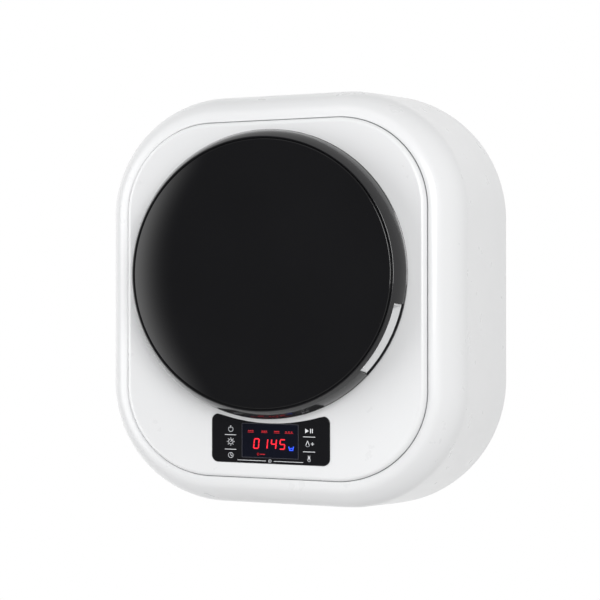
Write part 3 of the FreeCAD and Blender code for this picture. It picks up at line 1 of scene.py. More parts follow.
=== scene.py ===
"""Looks for the wall-mounted washing machine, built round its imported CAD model.

Metres, in the row frame: the wall is y = 0, the room is towards -Y, +X is right and +Z is up.
A depth is a distance from the wall, so a point at depth d has y = -d.
"""
import json
import math

import bmesh
import bpy
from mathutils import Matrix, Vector


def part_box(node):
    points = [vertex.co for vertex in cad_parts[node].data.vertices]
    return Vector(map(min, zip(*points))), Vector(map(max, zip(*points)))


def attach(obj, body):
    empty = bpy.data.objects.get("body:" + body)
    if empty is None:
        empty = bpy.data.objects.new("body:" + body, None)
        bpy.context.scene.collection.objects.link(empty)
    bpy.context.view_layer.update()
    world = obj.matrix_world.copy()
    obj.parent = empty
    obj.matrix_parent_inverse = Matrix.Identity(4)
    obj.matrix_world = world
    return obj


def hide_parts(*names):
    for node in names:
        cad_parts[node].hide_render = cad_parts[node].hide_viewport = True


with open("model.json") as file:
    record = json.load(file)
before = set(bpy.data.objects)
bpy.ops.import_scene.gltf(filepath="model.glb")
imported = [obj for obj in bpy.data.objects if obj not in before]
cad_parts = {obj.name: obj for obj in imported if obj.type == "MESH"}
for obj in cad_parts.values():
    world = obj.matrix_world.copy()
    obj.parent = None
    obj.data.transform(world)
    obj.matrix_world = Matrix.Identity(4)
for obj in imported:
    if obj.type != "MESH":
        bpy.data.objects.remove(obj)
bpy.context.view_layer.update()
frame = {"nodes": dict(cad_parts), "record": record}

MM = 0.001

# ---------------------------------------------------------------- places read from the frame
shell_low, shell_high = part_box("cabinet_shell")
panel_low, panel_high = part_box("front_panel")
rim_low, rim_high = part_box("door_rim")
glass_low, glass_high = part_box("door_glass")
bowl_low, bowl_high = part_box("door_bowl")
grip_low, grip_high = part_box("door_grip")
plate_low, plate_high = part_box("control_panel")
hinge_low, hinge_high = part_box("hinge_arm")
lugs_low, lugs_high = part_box("hinge_bracket")
tongue_low, tongue_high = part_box("door_strike")
tray_low, tray_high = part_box("dispenser_tray")

AXIS = (rim_low.z + rim_high.z) / 2
SEAM_DEPTH = -shell_low.y
SHELL_BACK = -shell_high.y
SEAM_GAP = 1.2 * MM
SEAM_WIDE = panel_high.x + SEAM_GAP
SEAM_HIGH = panel_high.z + SEAM_GAP
SEAM_CORNER = 118.5 * MM
FACE = -panel_low.y
DOOR_BACK = -rim_high.y
DOOR_FRONT = -rim_low.y
DOOR_RADIUS = rim_high.x
WALL = 2.8 * MM


# ---------------------------------------------------------------- outlines
def arc(centre, radius, start, end, steps=14):
    """Points along an arc between two angles in degrees, as (u, v)."""
    points = []
    for i in range(steps + 1):
        angle = math.radians(start + (end - start) * i / steps)
        points.append((centre[0] + radius * math.cos(angle), centre[1] + radius * math.sin(angle)))
    return points


def bow(start, end, rise, steps=16):
    """Points from start to end along a shallow curve that stands out by rise to its left."""
    run = Vector((end[0] - start[0], end[1] - start[1]))
    side = Vector((-run.y, run.x)).normalized()
    points = []
    for i in range(steps + 1):
        share = i / steps
        out = 4 * rise * share * (1 - share)
        points.append((start[0] + run.x * share + side.x * out, start[1] + run.y * share + side.y * out))
    return points


def eased(corners, steps=6):
    """A closed outline with rounded corners. A corner is (u, v) or (u, v, radius)."""
    outline = []
    count = len(corners)
    for i, corner in enumerate(corners):
        here = Vector(corner[:2])
        if len(corner) < 3:
            outline.append(tuple(here))
            continue
        back = Vector(corners[i - 1][:2]) - here
        ahead = Vector(corners[(i + 1) % count][:2]) - here
        half = back.angle(ahead) / 2
        reach = min(corner[2] / math.tan(half), 0.49 * back.length, 0.49 * ahead.length)
        centre = here + (back.normalized() + ahead.normalized()).normalized() * (reach / math.cos(half))
        first = here + back.normalized() * reach - centre
        last = here + ahead.normalized() * reach - centre
        sweep = math.atan2(first.x * last.y - first.y * last.x, first.dot(last))
        for step in range(steps + 1):
            turn = sweep * step / steps
            outline.append((centre.x + first.x * math.cos(turn) - first.y * math.sin(turn),
                            centre.y + first.x * math.sin(turn) + first.y * math.cos(turn)))
    return outline


def seam_loop(out, corner_steps=40, run_steps=10):
    """The seam's rounded rectangle as (x, z), larger all round by out, clockwise from the top left."""
    radius = SEAM_CORNER + out
    wide, high = SEAM_WIDE + out - radius, SEAM_HIGH + out - radius
    points = []
    for across, up, start in ((wide, high, 90), (wide, -high, 0), (-wide, -high, -90), (-wide, high, -180)):
        turn = arc((across, up), radius, start, start - 90, corner_steps)
        if points:
            points += between(points[-1], turn[0], run_steps)
        points += turn
    return points + between(points[-1], points[0], run_steps)


def between(first, last, steps):
    return [(first[0] + (last[0] - first[0]) * i / steps, first[1] + (last[1] - first[1]) * i / steps)
            for i in range(1, steps)]


def round_loop(radius):
    """A circle about the drum's axis whose points face those of the seam's loop."""
    angles = [math.atan2(x, z - AXIS) for x, z in seam_loop(0)]
    return [(radius * math.sin(angle), AXIS + radius * math.cos(angle)) for angle in angles]


# ---------------------------------------------------------------- meshes
def sharpen(mesh, angle):
    """Smooth faces with crisp edges where two faces turn by more than the angle, in degrees."""
    work = bmesh.new()
    work.from_mesh(mesh)
    for face in work.faces:
        face.smooth = True
    for edge in work.edges:
        edge.smooth = len(edge.link_faces) == 2 and edge.calc_face_angle(0) < math.radians(angle)
    work.to_mesh(mesh)
    work.free()


def make_piece(name, points, faces, angle=32):
    mesh = bpy.data.meshes.new(name)
    mesh.from_pydata(points, [], faces)
    work = bmesh.new()
    work.from_mesh(mesh)
    bmesh.ops.remove_doubles(work, verts=work.verts, dist=1e-6)
    bmesh.ops.dissolve_degenerate(work, edges=work.edges, dist=1e-7)
    bmesh.ops.recalc_face_normals(work, faces=work.faces)
    work.to_mesh(mesh)
    work.free()
    sharpen(mesh, angle)
    piece = bpy.data.objects.new(name, mesh)
    bpy.context.scene.collection.objects.link(piece)
    return piece


def loft(name, loops, angle=32):
    """A closed solid through rings of points, the last joined to the first."""
    count = len(loops[0])
    points = [point for loop in loops for point in loop]
    faces = []
    for i in range(len(loops)):
        after = (i + 1) % len(loops)
        for j in range(count):
            k = (j + 1) % count
            faces.append((i * count + j, i * count + k, after * count + k, after * count + j))
    return make_piece(name, points, faces, angle)


def at_depth(loop, depth):
    return [(x, -depth, z) for x, z in loop]


def turned(name, outline, start=0.0, sweep=360.0, steps=200, angle=32):
    """The solid that a closed (depth, radius) outline makes about the drum's axis, angles from the top."""
    full = sweep >= 360
    columns = []
    for i in range(steps if full else steps + 1):
        turn = math.radians(start + sweep * i / steps)
        columns.append([(radius * math.sin(turn), -depth, AXIS + radius * math.cos(turn))
                        for depth, radius in outline])
    count = len(outline)
    points = [point for column in columns for point in column]
    faces = []
    for i in range(steps):
        after = (i + 1) % len(columns)
        for j in range(count):
            k = (j + 1) % count
            faces.append((i * count + j, i * count + k, after * count + k, after * count + j))
    if not full:
        faces.append(tuple(range(count)))
        faces.append(tuple(steps * count + j for j in range(count)))
    return make_piece(name, points, faces, angle)


def prism(name, outline, start, end, bevel=0.0, angle=32):
    """A closed (x, z) outline made solid between two depths, its front edge rounded by bevel."""
    count = len(outline)
    points = at_depth(outline, start) + at_depth(outline, end)
    faces = [tuple(range(count)), tuple(count + i for i in range(count))]
    for i in range(count):
        k = (i + 1) % count
        faces.append((i, k, count + k, count + i))
    piece = make_piece(name, points, faces, angle)
    if bevel:
        work = bmesh.new()
        work.from_mesh(piece.data)
        front = [edge for edge in work.edges if all(abs(v.co.y + end) < 1e-6 for v in edge.verts)]
        bmesh.ops.bevel(work, geom=front, offset=bevel, segments=4, profile=0.5, affect="EDGES")
        work.to_mesh(piece.data)
        work.free()
        sharpen(piece.data, angle)
    return piece


def cuboid(name, low, high):
    corners = [(low[0], low[2]), (high[0], low[2]), (high[0], high[2]), (low[0], high[2])]
    return prism(name, corners, low[1], high[1])


def cross_rod(name, across, depth, up, radius, length, steps=64):
    """A round bar along X from a point."""
    points, faces = [], []
    for x in (across, across + length):
        for i in range(steps):
            turn = 2 * math.pi * i / steps
            points.append((x, -depth + radius * math.cos(turn), up + radius * math.sin(turn)))
    for i in range(steps):
        k = (i + 1) % steps
        faces.append((i, k, steps + k, steps + i))
    faces += [tuple(range(steps)), tuple(range(steps, 2 * steps))]
    return make_piece(name, points, faces)


def carve(piece, tools, angle=32):
    """Cut the tools out of a piece, then drop them."""
    for tool in tools:
        modifier = piece.modifiers.new("cut", "BOOLEAN")
        modifier.operation = "DIFFERENCE"
        modifier.solver = "EXACT"
        modifier.object = tool
    bpy.context.view_layer.update()
    solved = piece.evaluated_get(bpy.context.evaluated_depsgraph_get())
    piece.data = bpy.data.meshes.new_from_object(solved)
    piece.modifiers.clear()
    for tool in tools:
        bpy.data.objects.remove(tool)
    sharpen(piece.data, angle)
    return piece


def even_normals(piece):
    """Keeps broad faces flat in shading beside their rounded edges."""
    modifier = piece.modifiers.new("even_normals", "WEIGHTED_NORMAL")
    modifier.keep_sharp = True
    return piece


# ---------------------------------------------------------------- finishes
def new_material(name, base, roughness, **sockets):
    """A material with its Principled shader, the sockets set that stay the same all over."""
    material = bpy.data.materials.new(name)
    material.use_nodes = True
    shader = material.node_tree.nodes["Principled BSDF"]
    shader.inputs["Base Color"].default_value = (*base, 1)
    shader.inputs["Roughness"].default_value = roughness
    for socket, value in sockets.items():
        shader.inputs[socket.replace("_", " ")].default_value = value
    return material


def place(tree, stretch):
    """Object coordinates in metres, scaled along each axis."""
    coordinates = tree.nodes.new("ShaderNodeTexCoord")
    mapping = tree.nodes.new("ShaderNodeMapping")
    mapping.inputs["Scale"].default_value = stretch
    tree.links.new(coordinates.outputs["Object"], mapping.inputs["Vector"])
    return mapping.outputs["Vector"]


def noise(tree, vector, scale, detail=3.0):
    texture = tree.nodes.new("ShaderNodeTexNoise")
    texture.inputs["Scale"].default_value = scale
    texture.inputs["Detail"].default_value = detail
    tree.links.new(vector, texture.inputs["Vector"])
    return texture.outputs["Fac"]


def spread(tree, value, low, high):
    """The middle of a texture's range, moved to low..high."""
    ranged = tree.nodes.new("ShaderNodeMapRange")
    ranged.inputs["From Min"].default_value = 0.3
    ranged.inputs["From Max"].default_value = 0.7
    ranged.inputs["To Min"].default_value = low
    ranged.inputs["To Max"].default_value = high
    tree.links.new(value, ranged.inputs["Value"])
    return ranged.outputs["Result"]


def blend_colours(tree, value, first, second):
    mix = tree.nodes.new("ShaderNodeMix")
    mix.data_type = "RGBA"
    mix.inputs["A"].default_value = (*first, 1)
    mix.inputs["B"].default_value = (*second, 1)
    tree.links.new(value, mix.inputs["Factor"])
    return mix.outputs["Result"]


def raise_bumps(tree, shader, height, strength, distance):
    bump = tree.nodes.new("ShaderNodeBump")
    bump.inputs["Strength"].default_value = strength
    bump.inputs["Distance"].default_value = distance
    tree.links.new(height, bump.inputs["Height"])
    if shader.inputs["Normal"].is_linked:
        before = shader.inputs["Normal"].links[0].from_socket
        tree.links.new(before, bump.inputs["Normal"])
    tree.links.new(bump.outputs["Normal"], shader.inputs["Normal"])


def finish(name, base, roughness, tint=0.04, worn=0.06, grain=900.0, bump=0.1, depth=0.05 * MM,
           cloud=18.0, stretch=(1, 1, 1), **sockets):
    """A surface with slow colour and gloss variation and a fine grain of its own."""
    material = new_material(name, base, roughness, **sockets)
    tree = material.node_tree
    shader = tree.nodes["Principled BSDF"]
    vector = place(tree, stretch)
    slow = noise(tree, vector, cloud, 4)
    fine = noise(tree, vector, grain, 2)
    darker = tuple(channel * (1 - tint) for channel in base)
    lighter = tuple(min(1, channel * (1 + tint)) for channel in base)
    varied = blend_colours(tree, spread(tree, slow, 0, 1), darker, lighter)
    tree.links.new(varied, shader.inputs["Base Color"])
    gloss = spread(tree, noise(tree, vector, cloud * 5, 5), roughness - worn, roughness + worn)
    tree.links.new(gloss, shader.inputs["Roughness"])
    raise_bumps(tree, shader, fine, bump, depth)
    return material


def banded(material, axis, pitch, strength, distance):
    """Adds fine ridges across an axis, as on laminations, windings or turned metal."""
    tree = material.node_tree
    shader = tree.nodes["Principled BSDF"]
    wave = tree.nodes.new("ShaderNodeTexWave")
    wave.bands_direction = axis
    wave.inputs["Scale"].default_value = 1 / pitch / 3.2
    wave.inputs["Distortion"].default_value = 0.4
    tree.links.new(place(tree, (1, 1, 1)), wave.inputs["Vector"])
    raise_bumps(tree, shader, wave.outputs["Fac"], strength, distance)
    return material


def dimpled(material, scale, strength, distance):
    """Adds cells, as on cast metal or an embossed drum."""
    tree = material.node_tree
    shader = tree.nodes["Principled BSDF"]
    cells = tree.nodes.new("ShaderNodeTexVoronoi")
    cells.inputs["Scale"].default_value = scale
    tree.links.new(place(tree, (1, 1, 1)), cells.inputs["Vector"])
    raise_bumps(tree, shader, cells.outputs["Distance"], strength, distance)
    return material


def circuit_board():
    """Green solder mask over a grid of tracks."""
    material = finish("board", (0.02, 0.14, 0.06), 0.32, tint=0.15, grain=1500)
    tree = material.node_tree
    shader = tree.nodes["Principled BSDF"]
    bricks = tree.nodes.new("ShaderNodeTexBrick")
    bricks.inputs["Scale"].default_value = 160
    bricks.inputs["Mortar Size"].default_value = 0.05
    bricks.inputs["Color1"].default_value = (0.02, 0.15, 0.06, 1)
    bricks.inputs["Color2"].default_value = (0.015, 0.11, 0.045, 1)
    bricks.inputs["Mortar"].default_value = (0.06, 0.3, 0.13, 1)
    turn = tree.nodes.new("ShaderNodeMapping")
    turn.inputs["Rotation"].default_value = (math.pi / 2, 0, 0)
    tree.links.new(place(tree, (1, 1, 1)), turn.inputs["Vector"])
    tree.links.new(turn.outputs["Vector"], bricks.inputs["Vector"])
    tree.links.new(bricks.outputs["Color"], shader.inputs["Base Color"])
    return material


SATIN = {"Specular_IOR_Level": 0.4}
FINISHES = {
    "white_shell": finish("white_shell", (0.83, 0.835, 0.84), 0.3, tint=0.008, worn=0.03, grain=140,
                          bump=0.01, depth=0.01 * MM, cloud=7, Coat_Weight=0.25, Coat_Roughness=0.12),
    "black_gloss": finish("black_gloss", (0.012, 0.012, 0.013), 0.14, tint=0.1, worn=0.04, grain=350,
                          bump=0.03, depth=0.02 * MM, Coat_Weight=0.4, Coat_Roughness=0.06),
    "tinted_glass": finish("tinted_glass", (0.0065, 0.0065, 0.007), 0.035, tint=0.08, worn=0.012, grain=160,
                           bump=0.01, depth=0.01 * MM, cloud=9, IOR=1.5),
    "clear_glass": finish("clear_glass", (0.82, 0.86, 0.86), 0.05, tint=0.01, worn=0.02, grain=120,
                          bump=0.03, depth=0.02 * MM, IOR=1.5, Transmission_Weight=0.92),
    "door_inner": finish("door_inner", (0.03, 0.03, 0.033), 0.42, grain=1600, bump=0.25),
    "grip_grey": finish("grip_grey", (0.7, 0.705, 0.71), 0.42, tint=0.02, grain=1500, bump=0.15),
    "panel_gloss": finish("panel_gloss", (0.006, 0.006, 0.007), 0.09, tint=0.1, worn=0.03, grain=260,
                          bump=0.02, depth=0.01 * MM, Coat_Weight=0.5, Coat_Roughness=0.04),
    "zinc_steel": dimpled(finish("zinc_steel", (0.58, 0.6, 0.62), 0.36, tint=0.09, worn=0.09, cloud=60,
                                 Metallic=1.0), 140, 0.05, 0.05 * MM),
    "black_rubber": finish("black_rubber", (0.022, 0.022, 0.023), 0.68, tint=0.12, grain=1300, bump=0.4,
                           Sheen_Weight=0.15),
    "grey_rubber": finish("grey_rubber", (0.27, 0.28, 0.29), 0.55, tint=0.05, grain=1200, bump=0.25,
                          Sheen_Weight=0.2),
    "tub_plastic": dimpled(finish("tub_plastic", (0.46, 0.48, 0.5), 0.5, tint=0.06, grain=700, bump=0.3),
                           380, 0.12, 0.08 * MM),
    "spring_steel": finish("spring_steel", (0.55, 0.55, 0.56), 0.28, tint=0.06, worn=0.1, grain=500,
                           stretch=(1, 6, 1), Metallic=1.0),
    "bearing_steel": banded(finish("bearing_steel", (0.68, 0.68, 0.7), 0.16, worn=0.05, Metallic=1.0),
                            "Y", 0.5 * MM, 0.12, 0.02 * MM),
    "cast_weight": dimpled(finish("cast_weight", (0.3, 0.3, 0.29), 0.78, tint=0.14, grain=260, bump=0.6,
                                  depth=0.3 * MM), 520, 0.5, 0.3 * MM),
    "lamination": banded(finish("lamination", (0.36, 0.36, 0.38), 0.4, worn=0.1, Metallic=1.0),
                         "Y", 0.7 * MM, 0.8, 0.15 * MM),
    "cast_aluminium": dimpled(finish("cast_aluminium", (0.62, 0.63, 0.65), 0.42, tint=0.06, worn=0.1,
                                     grain=650, bump=0.3, Metallic=1.0), 600, 0.25, 0.08 * MM),
    "copper": banded(finish("copper", (0.62, 0.25, 0.1), 0.3, tint=0.1, worn=0.1, Metallic=1.0),
                     "DIAGONAL", 0.9 * MM, 0.9, 0.25 * MM),
    "dark_plastic": finish("dark_plastic", (0.035, 0.035, 0.038), 0.46, tint=0.1, grain=1300, bump=0.3,
                           **SATIN),
    "white_plastic": finish("white_plastic", (0.74, 0.74, 0.72), 0.45, tint=0.02, grain=1300, bump=0.2,
                            **SATIN),
    "board": circuit_board(),
    "stainless": dimpled(finish("stainless", (0.66, 0.67, 0.68), 0.22, tint=0.03, worn=0.06, grain=300,
                                stretch=(1, 5, 1), Metallic=1.0), 70, 0.35, 0.5 * MM),
    "lifter_plastic": finish("lifter_plastic", (0.62, 0.64, 0.66), 0.4, tint=0.02, grain=1200, bump=0.2),
}


def glowing(name, colour, strength):
    """Printed or lit marks on the touch panel."""
    return finish(name, colour, 0.35, tint=0.05, worn=0.05, grain=2000, bump=0.05,
                  Emission_Color=(*colour, 1), Emission_Strength=strength)


MARK_WHITE = glowing("mark_white", (0.72, 0.73, 0.75), 0.12)
MARK_GREY = glowing("mark_grey", (0.1, 0.1, 0.12), 0.0)
MARK_RED = glowing("mark_red", (0.86, 0.015, 0.03), 0.85)
MARK_DIM = glowing("mark_dim", (0.42, 0.01, 0.015), 0.5)
MARK_BLUE = glowing("mark_blue", (0.03, 0.1, 0.9), 0.9)
LIP_BLACK = finish("lip_black", (0.006, 0.006, 0.006), 0.5, tint=0.1, grain=1400, bump=0.15,
                   Specular_IOR_Level=0.12)
WINDOW_SMOKE = finish("window_smoke", (0.004, 0.005, 0.011), 0.1, tint=0.1, worn=0.03, grain=300, bump=0.02)


def dress(piece, material, body, replaced=()):
    """Gives a piece its material and its body, and hides the CAD nodes that it stands in for."""
    piece.data.materials.clear()
    piece.data.materials.append(material)
    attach(piece, body)
    if replaced:
        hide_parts(*replaced)
    return piece


for subpart in frame["record"]["subparts"]:
    node = frame["nodes"][subpart["node"]]
    for holder in node.material_slots:
        holder.material = FINISHES[subpart["material_slot"]]


# ---------------------------------------------------------------- body
EDGE_ROUND = 23.5 * MM
SHOULDER_ROUND = 88.7 * MM
SHOULDER_TURN = 45
FLARE = math.radians(8.05)
SHELL_OUT = shell_high.z - SEAM_HIGH
LEDGE = 9 * MM
SERVICE_DEPTH = 38 * MM
SERVICE_HOLE = 24 * MM


def shell_section(thickness):
    """(depth, out) points of the shell's surface, from the seam to the wall, moved in by a thickness."""
    centre = (EDGE_ROUND, 0.0)
    edge = arc(centre, EDGE_ROUND - thickness, 180, 180 - SHOULDER_TURN, 16)
    lean = math.radians(SHOULDER_TURN)
    growth = SHOULDER_ROUND - EDGE_ROUND
    second = (EDGE_ROUND + growth * math.cos(lean), -growth * math.sin(lean))
    shoulder = arc(second, SHOULDER_ROUND - thickness, 180 - SHOULDER_TURN, 90 + math.degrees(FLARE), 26)
    back = SEAM_DEPTH - SHELL_BACK
    tail = (back, SHELL_OUT - thickness / math.cos(FLARE))
    return [(SEAM_DEPTH - along, out) for along, out in edge + shoulder[1:] + between(shoulder[-1], tail, 14)
            + [tail]]


def make_shell():
    """The white body: open at the front, flared towards the wall, with three service holes."""
    inner = [point for point in reversed(shell_section(WALL)) if point[0] < SEAM_DEPTH - 2 * WALL]
    lip = [(SEAM_DEPTH - 2 * WALL, inner[-1][1]), (SEAM_DEPTH - 2 * WALL, -LEDGE),
           (SEAM_DEPTH - WALL, -LEDGE), (SEAM_DEPTH - WALL, 0.0), (SEAM_DEPTH - 0.5 * MM, 0.0),
           (SEAM_DEPTH - 0.15 * MM, 0.15 * MM)]
    section = shell_section(0)[1:] + inner + lip
    piece = loft("outer_shell", [at_depth(seam_loop(out), depth) for depth, out in section])
    holes = []
    for service, radius in (("inlet_valve", SERVICE_HOLE), ("drain_spigot", SERVICE_HOLE),
                            ("cable_gland", 9.3 * MM)):
        low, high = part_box(service)
        centre = (low.z + high.z) / 2 if service != "inlet_valve" else 88 * MM
        holes.append(cross_rod("hole", shell_low.x - 10 * MM, SERVICE_DEPTH, centre, radius, 60 * MM))
    carve(piece, holes)
    dress(piece, FINISHES["white_shell"], "cabinet", ["cabinet_shell"])


STEEP_ROUND = 9 * MM
TOP_ROUND = 6.5 * MM
STEEP_TURN = 35
DISH_RADIUS = 152 * MM
DISH_DEPTH = 4 * MM
PORT_RADIUS = 136 * MM
SEAT_DEPTH = 1.4 * MM
FIT = 0.3 * MM


def plate_outline(grow=0.0):
    """The touch panel's outline, whose top edge follows the door, as (x, z)."""
    half, corner, sag = plate_high.x + grow, 9 * MM, 11 * MM
    high, low = plate_high.z + grow, plate_low.z - grow
    span = half - corner
    top = bow((-span, high), (span, high), -sag, 28)
    left = arc((-span, low + corner), corner, 270, 180, 8) + arc((-span, high - corner), corner, 180, 98, 8)
    right = arc((span, high - corner), corner, 82, 0, 8) + arc((span, low + corner), corner, 0, -90, 8)
    return left + top[1:-1] + right


def make_front_panel():
    """The white face: a rolled edge at the seam, a flat front and a dished port behind the door."""
    def edge(thickness, forward_first):
        steep = arc((0, 0), STEEP_ROUND - thickness, 0, STEEP_TURN, 8)
        points = [(SEAM_DEPTH + v, SEAM_GAP + STEEP_ROUND - u) for u, v in steep]
        turn = math.radians(STEEP_TURN)
        growth = STEEP_ROUND - TOP_ROUND
        centre = (growth * math.cos(turn), growth * math.sin(turn))
        top = arc(centre, TOP_ROUND - thickness, STEEP_TURN, 90, 10)
        points += [(SEAM_DEPTH + v, SEAM_GAP + STEEP_ROUND - u) for u, v in top[1:]]
        return points if forward_first else points[::-1]

    outer = edge(0, True)
    inner = edge(WALL, False)
    loops = [at_depth(seam_loop(-inward), depth) for depth, inward in outer]
    slope = DISH_DEPTH / 2
    face_side = eased([(FACE, DISH_RADIUS + 9 * MM), (FACE, DISH_RADIUS, 3 * MM),
                       (FACE - DISH_DEPTH, DISH_RADIUS - slope, 3 * MM),
                       (FACE - DISH_DEPTH, PORT_RADIUS, 0.8 * MM),
                       (FACE - DISH_DEPTH - WALL, PORT_RADIUS, 0.8 * MM),
                       (FACE - DISH_DEPTH - WALL, DISH_RADIUS - slope + 1.7 * MM),
                       (FACE - WALL, DISH_RADIUS + WALL)])
    loops += [at_depth(round_loop(radius), depth) for depth, radius in face_side]
    loops += [at_depth(seam_loop(-inward), depth) for depth, inward in inner]
    loops += [at_depth(seam_loop(-SEAM_GAP - WALL), SEAM_DEPTH - WALL),
              at_depth(seam_loop(-SEAM_GAP), SEAM_DEPTH - WALL)]
    piece = loft("front_face", loops)
    through = (FACE - 20 * MM, FACE + 5 * MM)
    cuts = [prism("seat", plate_outline(FIT), FACE - SEAT_DEPTH, FACE + 5 * MM)]
    for low, high in ((lugs_low.z + 6 * MM, hinge_low.z), (hinge_high.z, lugs_high.z - 6 * MM)):
        cuts.append(cuboid("lug_slot", (lugs_low.x - FIT, through[0], low - FIT),
                           (lugs_low.x + 9 * MM + FIT, through[1], high + FIT)))
    mouth = (tongue_low.x + tongue_high.x) / 2
    cuts.append(cuboid("tongue_slot", (mouth - 5 * MM, through[0], AXIS - 8.3 * MM),
                       (mouth + 5 * MM, through[1], AXIS + 8.3 * MM)))
    left, right = tray_low.x - FIT, tray_high.x + FIT
    low, high = tray_low.z - FIT, tray_high.z + FIT
    corner = 6 * MM
    tray = eased([(left, low, corner), (right, low, corner), (right, high, corner), (left, high, corner)])
    cuts.append(prism("tray_hole", tray, *through))
    even_normals(carve(piece, cuts))
    dress(piece, FINISHES["white_shell"], "cabinet", ["front_panel"])
    # A thin grey sheet laid on the shell's ledge at the bottom of the seam gap: painted shade, so that the
    # seam reads as a darker line.
    outside, inside = seam_loop(-0.05 * MM), seam_loop(-SEAM_GAP + 0.05 * MM)
    low, high = SEAM_DEPTH - WALL, SEAM_DEPTH - WALL + 0.2 * MM
    seam_shade_sheet = loft("seam_painted_shade", [at_depth(outside, high), at_depth(outside, low),
                              at_depth(inside, low), at_depth(inside, high)])
    dress(seam_shade_sheet, FINISHES["grey_rubber"], "cabinet")


# ---------------------------------------------------------------- door
WAIST = DOOR_BACK + 17.5 * MM
UNDERCUT = 11 * MM
TAPER = 11.5 * MM
GLASS_EDGE = glass_high.x
SHELF = -glass_high.y
FRAME_RADIUS = 160 * MM
GRIP_MIDDLE = 117.5
GRIP_SPAN = 31.0


def make_rim():
    """The door's ring: undercut at its back, tapered in front, with a dark groove beside the glass."""
    back, front = DOOR_BACK, DOOR_FRONT
    top_radius = DOOR_RADIUS - TAPER
    under = bow((back + 1.2 * MM, DOOR_RADIUS - UNDERCUT), (WAIST - 0.8 * MM, DOOR_RADIUS - 0.3 * MM), 3 * MM)
    wall = bow((WAIST + 4.4 * MM, DOOR_RADIUS - 0.9 * MM), (front - 1.6 * MM, top_radius), 1.25 * MM)
    lip = [(WAIST, DOOR_RADIUS), (WAIST + 2.4 * MM, DOOR_RADIUS - 0.25 * MM),
           (WAIST + 3 * MM, DOOR_RADIUS - 1.5 * MM), (WAIST + 3.8 * MM, DOOR_RADIUS - 1.5 * MM)]
    crown = arc((front - 1.5 * MM, top_radius - 1.3 * MM), 1.5 * MM, 62, -10, 8)
    inside = [(front - 2.6 * MM, GLASS_EDGE + FIT), (SHELF, GLASS_EDGE + FIT), (SHELF, FRAME_RADIUS),
              (SHELF - 2.5 * MM, FRAME_RADIUS), (SHELF - 2.5 * MM, top_radius - 4.5 * MM),
              (WAIST, DOOR_RADIUS - 4.5 * MM), (back, DOOR_RADIUS - UNDERCUT - 4.5 * MM),
              (back, DOOR_RADIUS - UNDERCUT - 1.2 * MM)]
    piece = turned("door_ring", under + lip + wall + crown + inside, steps=288)
    grip_back, grip_front = -grip_high.y - 0.2 * MM, -grip_low.y + 0.2 * MM
    floor = DOOR_RADIUS - TAPER / 2 - 20 * MM
    window = turned("grip_window", [(grip_back, floor), (grip_back, DOOR_RADIUS + 5 * MM),
                                    (grip_front, DOOR_RADIUS + 5 * MM), (grip_front, floor)],
                    GRIP_MIDDLE - GRIP_SPAN / 2, GRIP_SPAN, 60)
    reach = (lugs_high.z - lugs_low.z) / 2 - 4.5 * MM
    notch = cuboid("hinge_notch", (-DOOR_RADIUS - 2 * MM, DOOR_BACK - 1 * MM, AXIS - reach),
                   (hinge_low.x + 14 * MM, WAIST - 0.5 * MM, AXIS + reach))
    carve(piece, [window, notch])
    dress(piece, FINISHES["black_gloss"], "door", ["door_rim"])
    start, end, seat = WAIST + 0.1 * MM, WAIST + 1.7 * MM, DOOR_RADIUS - 1.2 * MM
    section = eased([(start, seat), (start, DOOR_RADIUS), (end, DOOR_RADIUS - 0.2 * MM), (end, seat)], 2)
    band = turned("rim_lip", section, steps=288)
    dress(band, LIP_BLACK, "door")


def make_glass():
    """The dark glass: almost flat in the middle, rolling away at its polished edge."""
    crown, flat = -glass_low.y, DOOR_FRONT
    edge = GLASS_EDGE - 1.6 * MM
    steps = 36
    face = []
    for i in range(steps + 1):
        radius = edge * math.sin(math.pi / 2 * i / steps)
        face.append((flat + (crown - flat) * (1 - (radius / edge) ** 9), radius))
    rim = arc((flat - 1.5 * MM, edge), 1.5 * MM, 8, 90, 8)
    outline = face + rim + [(SHELF + 0.1 * MM, edge + 1.5 * MM), (SHELF + 0.1 * MM, 0.0)]
    piece = turned("dark_glass", outline, steps=288, angle=40)
    dress(piece, FINISHES["tinted_glass"], "door", ["door_glass"])


def make_bowl():
    """The clear moulded bowl behind the glass, with soft corners and a stepped flange."""
    flange = -bowl_low.y
    floor = -bowl_high.y
    wide, wall = 118 * MM, 4 * MM
    narrow = wide - 9 * MM
    outline = eased([(flange, wide + 9.5 * MM, 1 * MM), (flange - 2.8 * MM, wide + 9.5 * MM, 0.8 * MM),
                     (flange - 2.8 * MM, wide, 3 * MM), (floor + 2 * MM, narrow, 15 * MM),
                     (floor, narrow * 0.55, 40 * MM), (floor + 0.5 * MM, 0.0), (floor + wall, 0.0),
                     (floor + wall, narrow * 0.55, 40 * MM), (floor + wall + 2 * MM, narrow - wall, 12 * MM),
                     (flange, wide - wall, 2 * MM)], 8)
    piece = turned("clear_bowl", outline, steps=160, angle=40)
    dress(piece, FINISHES["clear_glass"], "door", ["door_bowl"])


